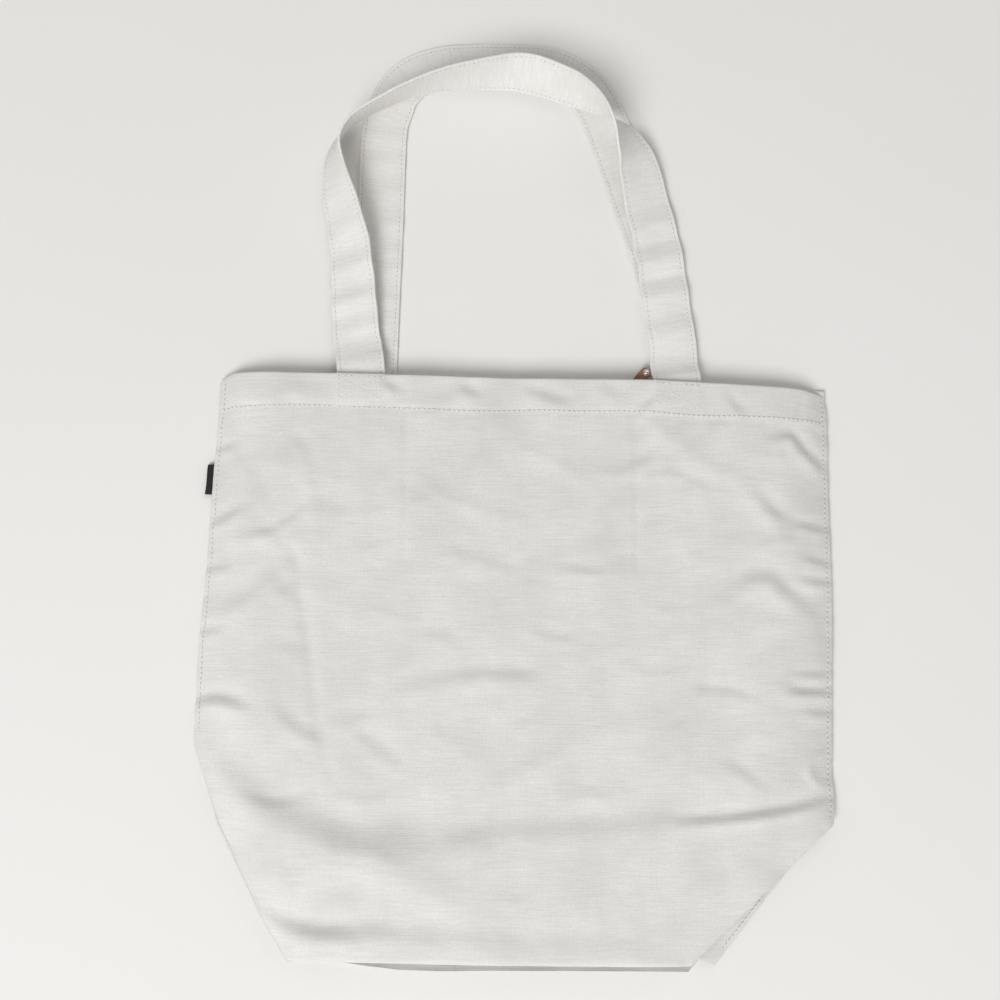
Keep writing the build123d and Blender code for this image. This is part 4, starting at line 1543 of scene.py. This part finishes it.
@dataclass
class LeatherPull:
    """A narrow leather strip folded double through the slider's eye and closed with a rivet."""

    half_width: float = 3.9
    layer: float = 0.9
    layer_level: float = 0.46
    cap_radius: float = 1.9
    cap_sample: int = 54
    samples: int = 60
    route: tuple = ((74.4, 38.6), (76.2, 45.0), (78.9, 52.5), (82.6, 61.5), (87.0, 69.3), (91.2, 74.6),
                    (95.0, 78.2))

    def build(self) -> None:
        """Make both layers, the dark cut edges and the rivet's cap."""
        low, high = box_mm("leather_pull")
        middle = (low.z + high.z) / 2
        line = curve_through(self.route, self.samples)
        self.build_strip("lower", line, middle - self.layer_level, 0.0)
        self.build_strip("upper", line, middle + self.layer_level, 0.16, "leather_pull")
        self.build_rivet(line[self.cap_sample], middle)
        log.info("leather pull: two layers and a rivet")

    def build_strip(self, name: str, line: Points, level: float, groove: float, *nodes: str) -> None:
        """Make one layer of the pull.

        Args:
            name: Which layer it is.
            line: Samples of the pull's middle line.
            level: The layer's middle level.
            groove: Depth of the pressed line along its middle.
            nodes: The frame nodes that it stands for, if any.
        """
        ahead = np.gradient(line, axis=0)
        ahead /= np.linalg.norm(ahead, axis=1, keepdims=True)
        knots = np.linspace(0, 1, self.samples)

        def shape(u: np.ndarray, v: np.ndarray) -> tuple[Points, Points]:
            """Lay one layer along the pull's line, crowned a little and rounded at its tip.

            Args:
                u: Shares across the strip.
                v: Shares along it, from the slider's eye.

            Returns:
                Places, and flat places on the cut strip, in millimetres.
            """
            at = [np.interp(v, knots, line[:, k]) for k in (0, 1)]
            way = [np.interp(v, knots, ahead[:, k]) for k in (0, 1)]
            side = (u - 0.5) * 2
            tip, neck = 1 - 0.25 * smooth((v - 0.93) / 0.07), 0.9 + 0.1 * smooth(v * 9)
            width = self.half_width * tip * neck
            x = at[0] + way[1] * side * width
            y = at[1] - way[0] * side * width
            dip = groove * mound(side, 0.22)
            z = level + 0.12 * (1 - side ** 2) - dip
            return np.column_stack([x, y, z]), np.column_stack([side * width, v * 50])

        strip = cloth_piece(f"leather_pull_{name}", 12, 50, shape, Finish.LEATHER, self.layer,
                            outward=0.0)
        strip.data.materials.append(Finish.EDGE_LEATHER.material())
        for face in strip.data.polygons:
            # Cut edges and the strip's outer millimetre are burnished darker.
            face.material_index = int(abs(face.normal.z) < 0.75)
        settle(strip, "leather_pull", "leather", *nodes)

    def build_rivet(self, at: Points, middle: float) -> None:
        """Make the rivet: a domed cap on a thin flange above, and a flat head below.

        Args:
            at: Its place across and along.
            middle: The level between the two layers.
        """
        cap = bmesh.new()
        for radius, rise, level in ((self.cap_radius, 0.9, middle + 0.95),
                                    (self.cap_radius * 1.25, 0.28, middle + 0.9),
                                    (self.cap_radius * 1.2, 0.3, middle - 0.95)):
            place = Matrix.Translation(Vector((at[0], at[1], level)) * MM)
            add_bead(cap, place, (radius, radius, rise), 24, 12)
        rivet = new_piece("pull_rivet_cap", cap, Finish.CAP_METAL)
        settle(rivet, "leather_pull", "rivet_metal", "pull_rivet")


@dataclass
class SideLabel:
    """A small plain black woven tab, folded double and caught in the left side seam."""

    overlap: float = 2.5
    drop: float = 6.3

    def build(self) -> None:
        """Make the folded tab."""
        low, high = box_mm("side_label")
        middle = (low.z + high.z) / 2 - self.drop
        route = curve_through(((high.x + self.overlap, middle + 0.75), (low.x + 1.6, middle + 0.7),
                               (low.x + 0.55, middle + 0.42), (low.x + 0.3, middle),
                               (low.x + 0.55, middle - 0.42), (low.x + 1.6, middle - 0.7),
                               (high.x + self.overlap, middle - 0.75)), 60)
        knots = np.linspace(0, 1, 60)

        def shape(u: np.ndarray, v: np.ndarray) -> tuple[Points, Points]:
            """Lay the tab out from the seam, round its fold and back, slightly askew.

            Args:
                u: Shares round the tab, from its upper sewn edge.
                v: Shares along the seam.

            Returns:
                Places, and flat places on the cut tape, in millimetres.
            """
            x, z = (np.interp(u, knots, route[:, k]) for k in (0, 1))
            y = low.y + (high.y - low.y) * v
            x = x + 1.1 * (v - 0.5) + 0.25 * np.sin(v * 5)
            z = z + 0.5 * np.sin(v * 3.3 + 0.5) * smooth((high.x - x) / 5)
            return np.column_stack([x, y, z]), np.column_stack([u * 2 * (high.x - low.x), y])

        tab = cloth_piece("side_label_tab", 30, 24, shape, Finish.LABEL, 0.5, outward=0.0)
        settle(tab, "bag", "label_cloth", "side_label")
        log.info("label: plain black tab")


# --- studio -----------------------------------------------------------------------------------------
@dataclass
class Studio:
    """Plain pale floor, soft light from the bag's bottom side, and the camera above."""

    floor_colour: str = "#eeedeb"
    floor_cloud: str = "#ebe9e6"
    floor_size: float = 6.0
    cloud_mm: float = 333.3
    lamp_colour: tuple[float, float, float] = (0.985, 0.993, 1.0)
    sky_colour: tuple[float, float, float, float] = (1.0, 0.985, 0.965, 1.0)
    sky_strength: float = 0.36
    lens_mm: float = 48.35
    camera_mm: tuple[float, float, float] = (-9.3, -211.2, 952.6)
    tilt_deg: tuple[float, float, float] = (11.42, 0.0, 0.9)

    def build(self) -> None:
        """Make the floor, the lights and the camera."""
        self.build_floor()
        # The standard view keeps the pale cloth and floor in their own colours.
        bpy.context.scene.view_settings.view_transform = "Standard"
        self.light("key", (-1.2, -2.6, 3.2), 2.0, 136.0)
        self.light("fill", (1.2, 2.4, 3.2), 3.0, 20.0)
        world = bpy.data.worlds.new("studio")
        bpy.context.scene.world = world
        world.use_nodes = True
        sky = world.node_tree.nodes["Background"].inputs
        sky["Color"].default_value = self.sky_colour
        sky["Strength"].default_value = self.sky_strength
        self.build_camera()
        log.info("studio: floor, two lights and camera")

    def build_floor(self) -> None:
        """Make the plain matt floor."""
        plane = bmesh.new()
        bmesh.ops.create_grid(plane, x_segments=2, y_segments=2, size=self.floor_size)
        mesh = bpy.data.meshes.new("floor")
        plane.to_mesh(mesh)
        plane.free()
        floor = bpy.data.objects.new("floor", mesh)
        bpy.context.scene.collection.objects.link(floor)
        # Matt painted board: even and pale, with only the faintest cloud in it.
        material, tree, shader = new_material("matt_studio_floor")
        place = add_node(tree, "ShaderNodeTexCoord").outputs["Object"]
        cloud = add_node(tree, "ShaderNodeTexNoise", {"Scale": per_metre(self.cloud_mm), "Detail": 3.0},
                         {"Vector": place})
        tone = add_node(tree, "ShaderNodeMix",
                        {"data_type": "RGBA", "6": linear(self.floor_colour),
                         "7": linear(self.floor_cloud)}, {"0": cloud.outputs["Fac"]})
        tree.links.new(tone.outputs[2], shader.inputs["Base Color"])
        shader.inputs["Roughness"].default_value = 0.7
        mesh.materials.append(material)

    def build_camera(self) -> None:
        """Hang the camera above the bag, tilted a little towards its handles."""
        lens = bpy.data.cameras.new("camera")
        lens.lens = self.lens_mm
        lens.sensor_width = 36.0
        camera = bpy.data.objects.new("camera", lens)
        camera.location = Vector(self.camera_mm) * MM
        camera.rotation_euler = [math.radians(angle) for angle in self.tilt_deg]
        bpy.context.scene.collection.objects.link(camera)
        bpy.context.scene.camera = camera

    def light(self, name: str, place: tuple[float, float, float], size: float, power: float) -> None:
        """Add a soft square light aimed at the bag.

        Args:
            name: The light's name.
            place: Where it hangs, in metres.
            size: Its side, in metres.
            power: Its power, in watts.
        """
        lamp = bpy.data.lights.new(name, "AREA")
        lamp.shape = "SQUARE"
        lamp.size = size
        lamp.energy = power
        lamp.color = self.lamp_colour
        source = bpy.data.objects.new(name, lamp)
        source.location = place
        source.rotation_euler = (-Vector(place)).to_track_quat("-Z", "Y").to_euler()
        bpy.context.scene.collection.objects.link(source)


def main() -> None:
    """Build the bag piece by piece around the frame."""
    logging.basicConfig(level=logging.INFO, format="%(name)s: %(message)s")
    sizes = BagFrame()
    Studio().build()
    body = BodyCloth(sizes)
    body.build_panels()
    body.build_seams()
    body.build_stitching()
    BaseFold(sizes, body).build()
    for corner in CORNERS:
        corner.build()
    front_handle(sizes).build()
    back_handle(sizes).build()
    InnerPocket().build()
    LeatherPull().build()
    SideLabel().build()


if __name__ == "__main__":
    main()
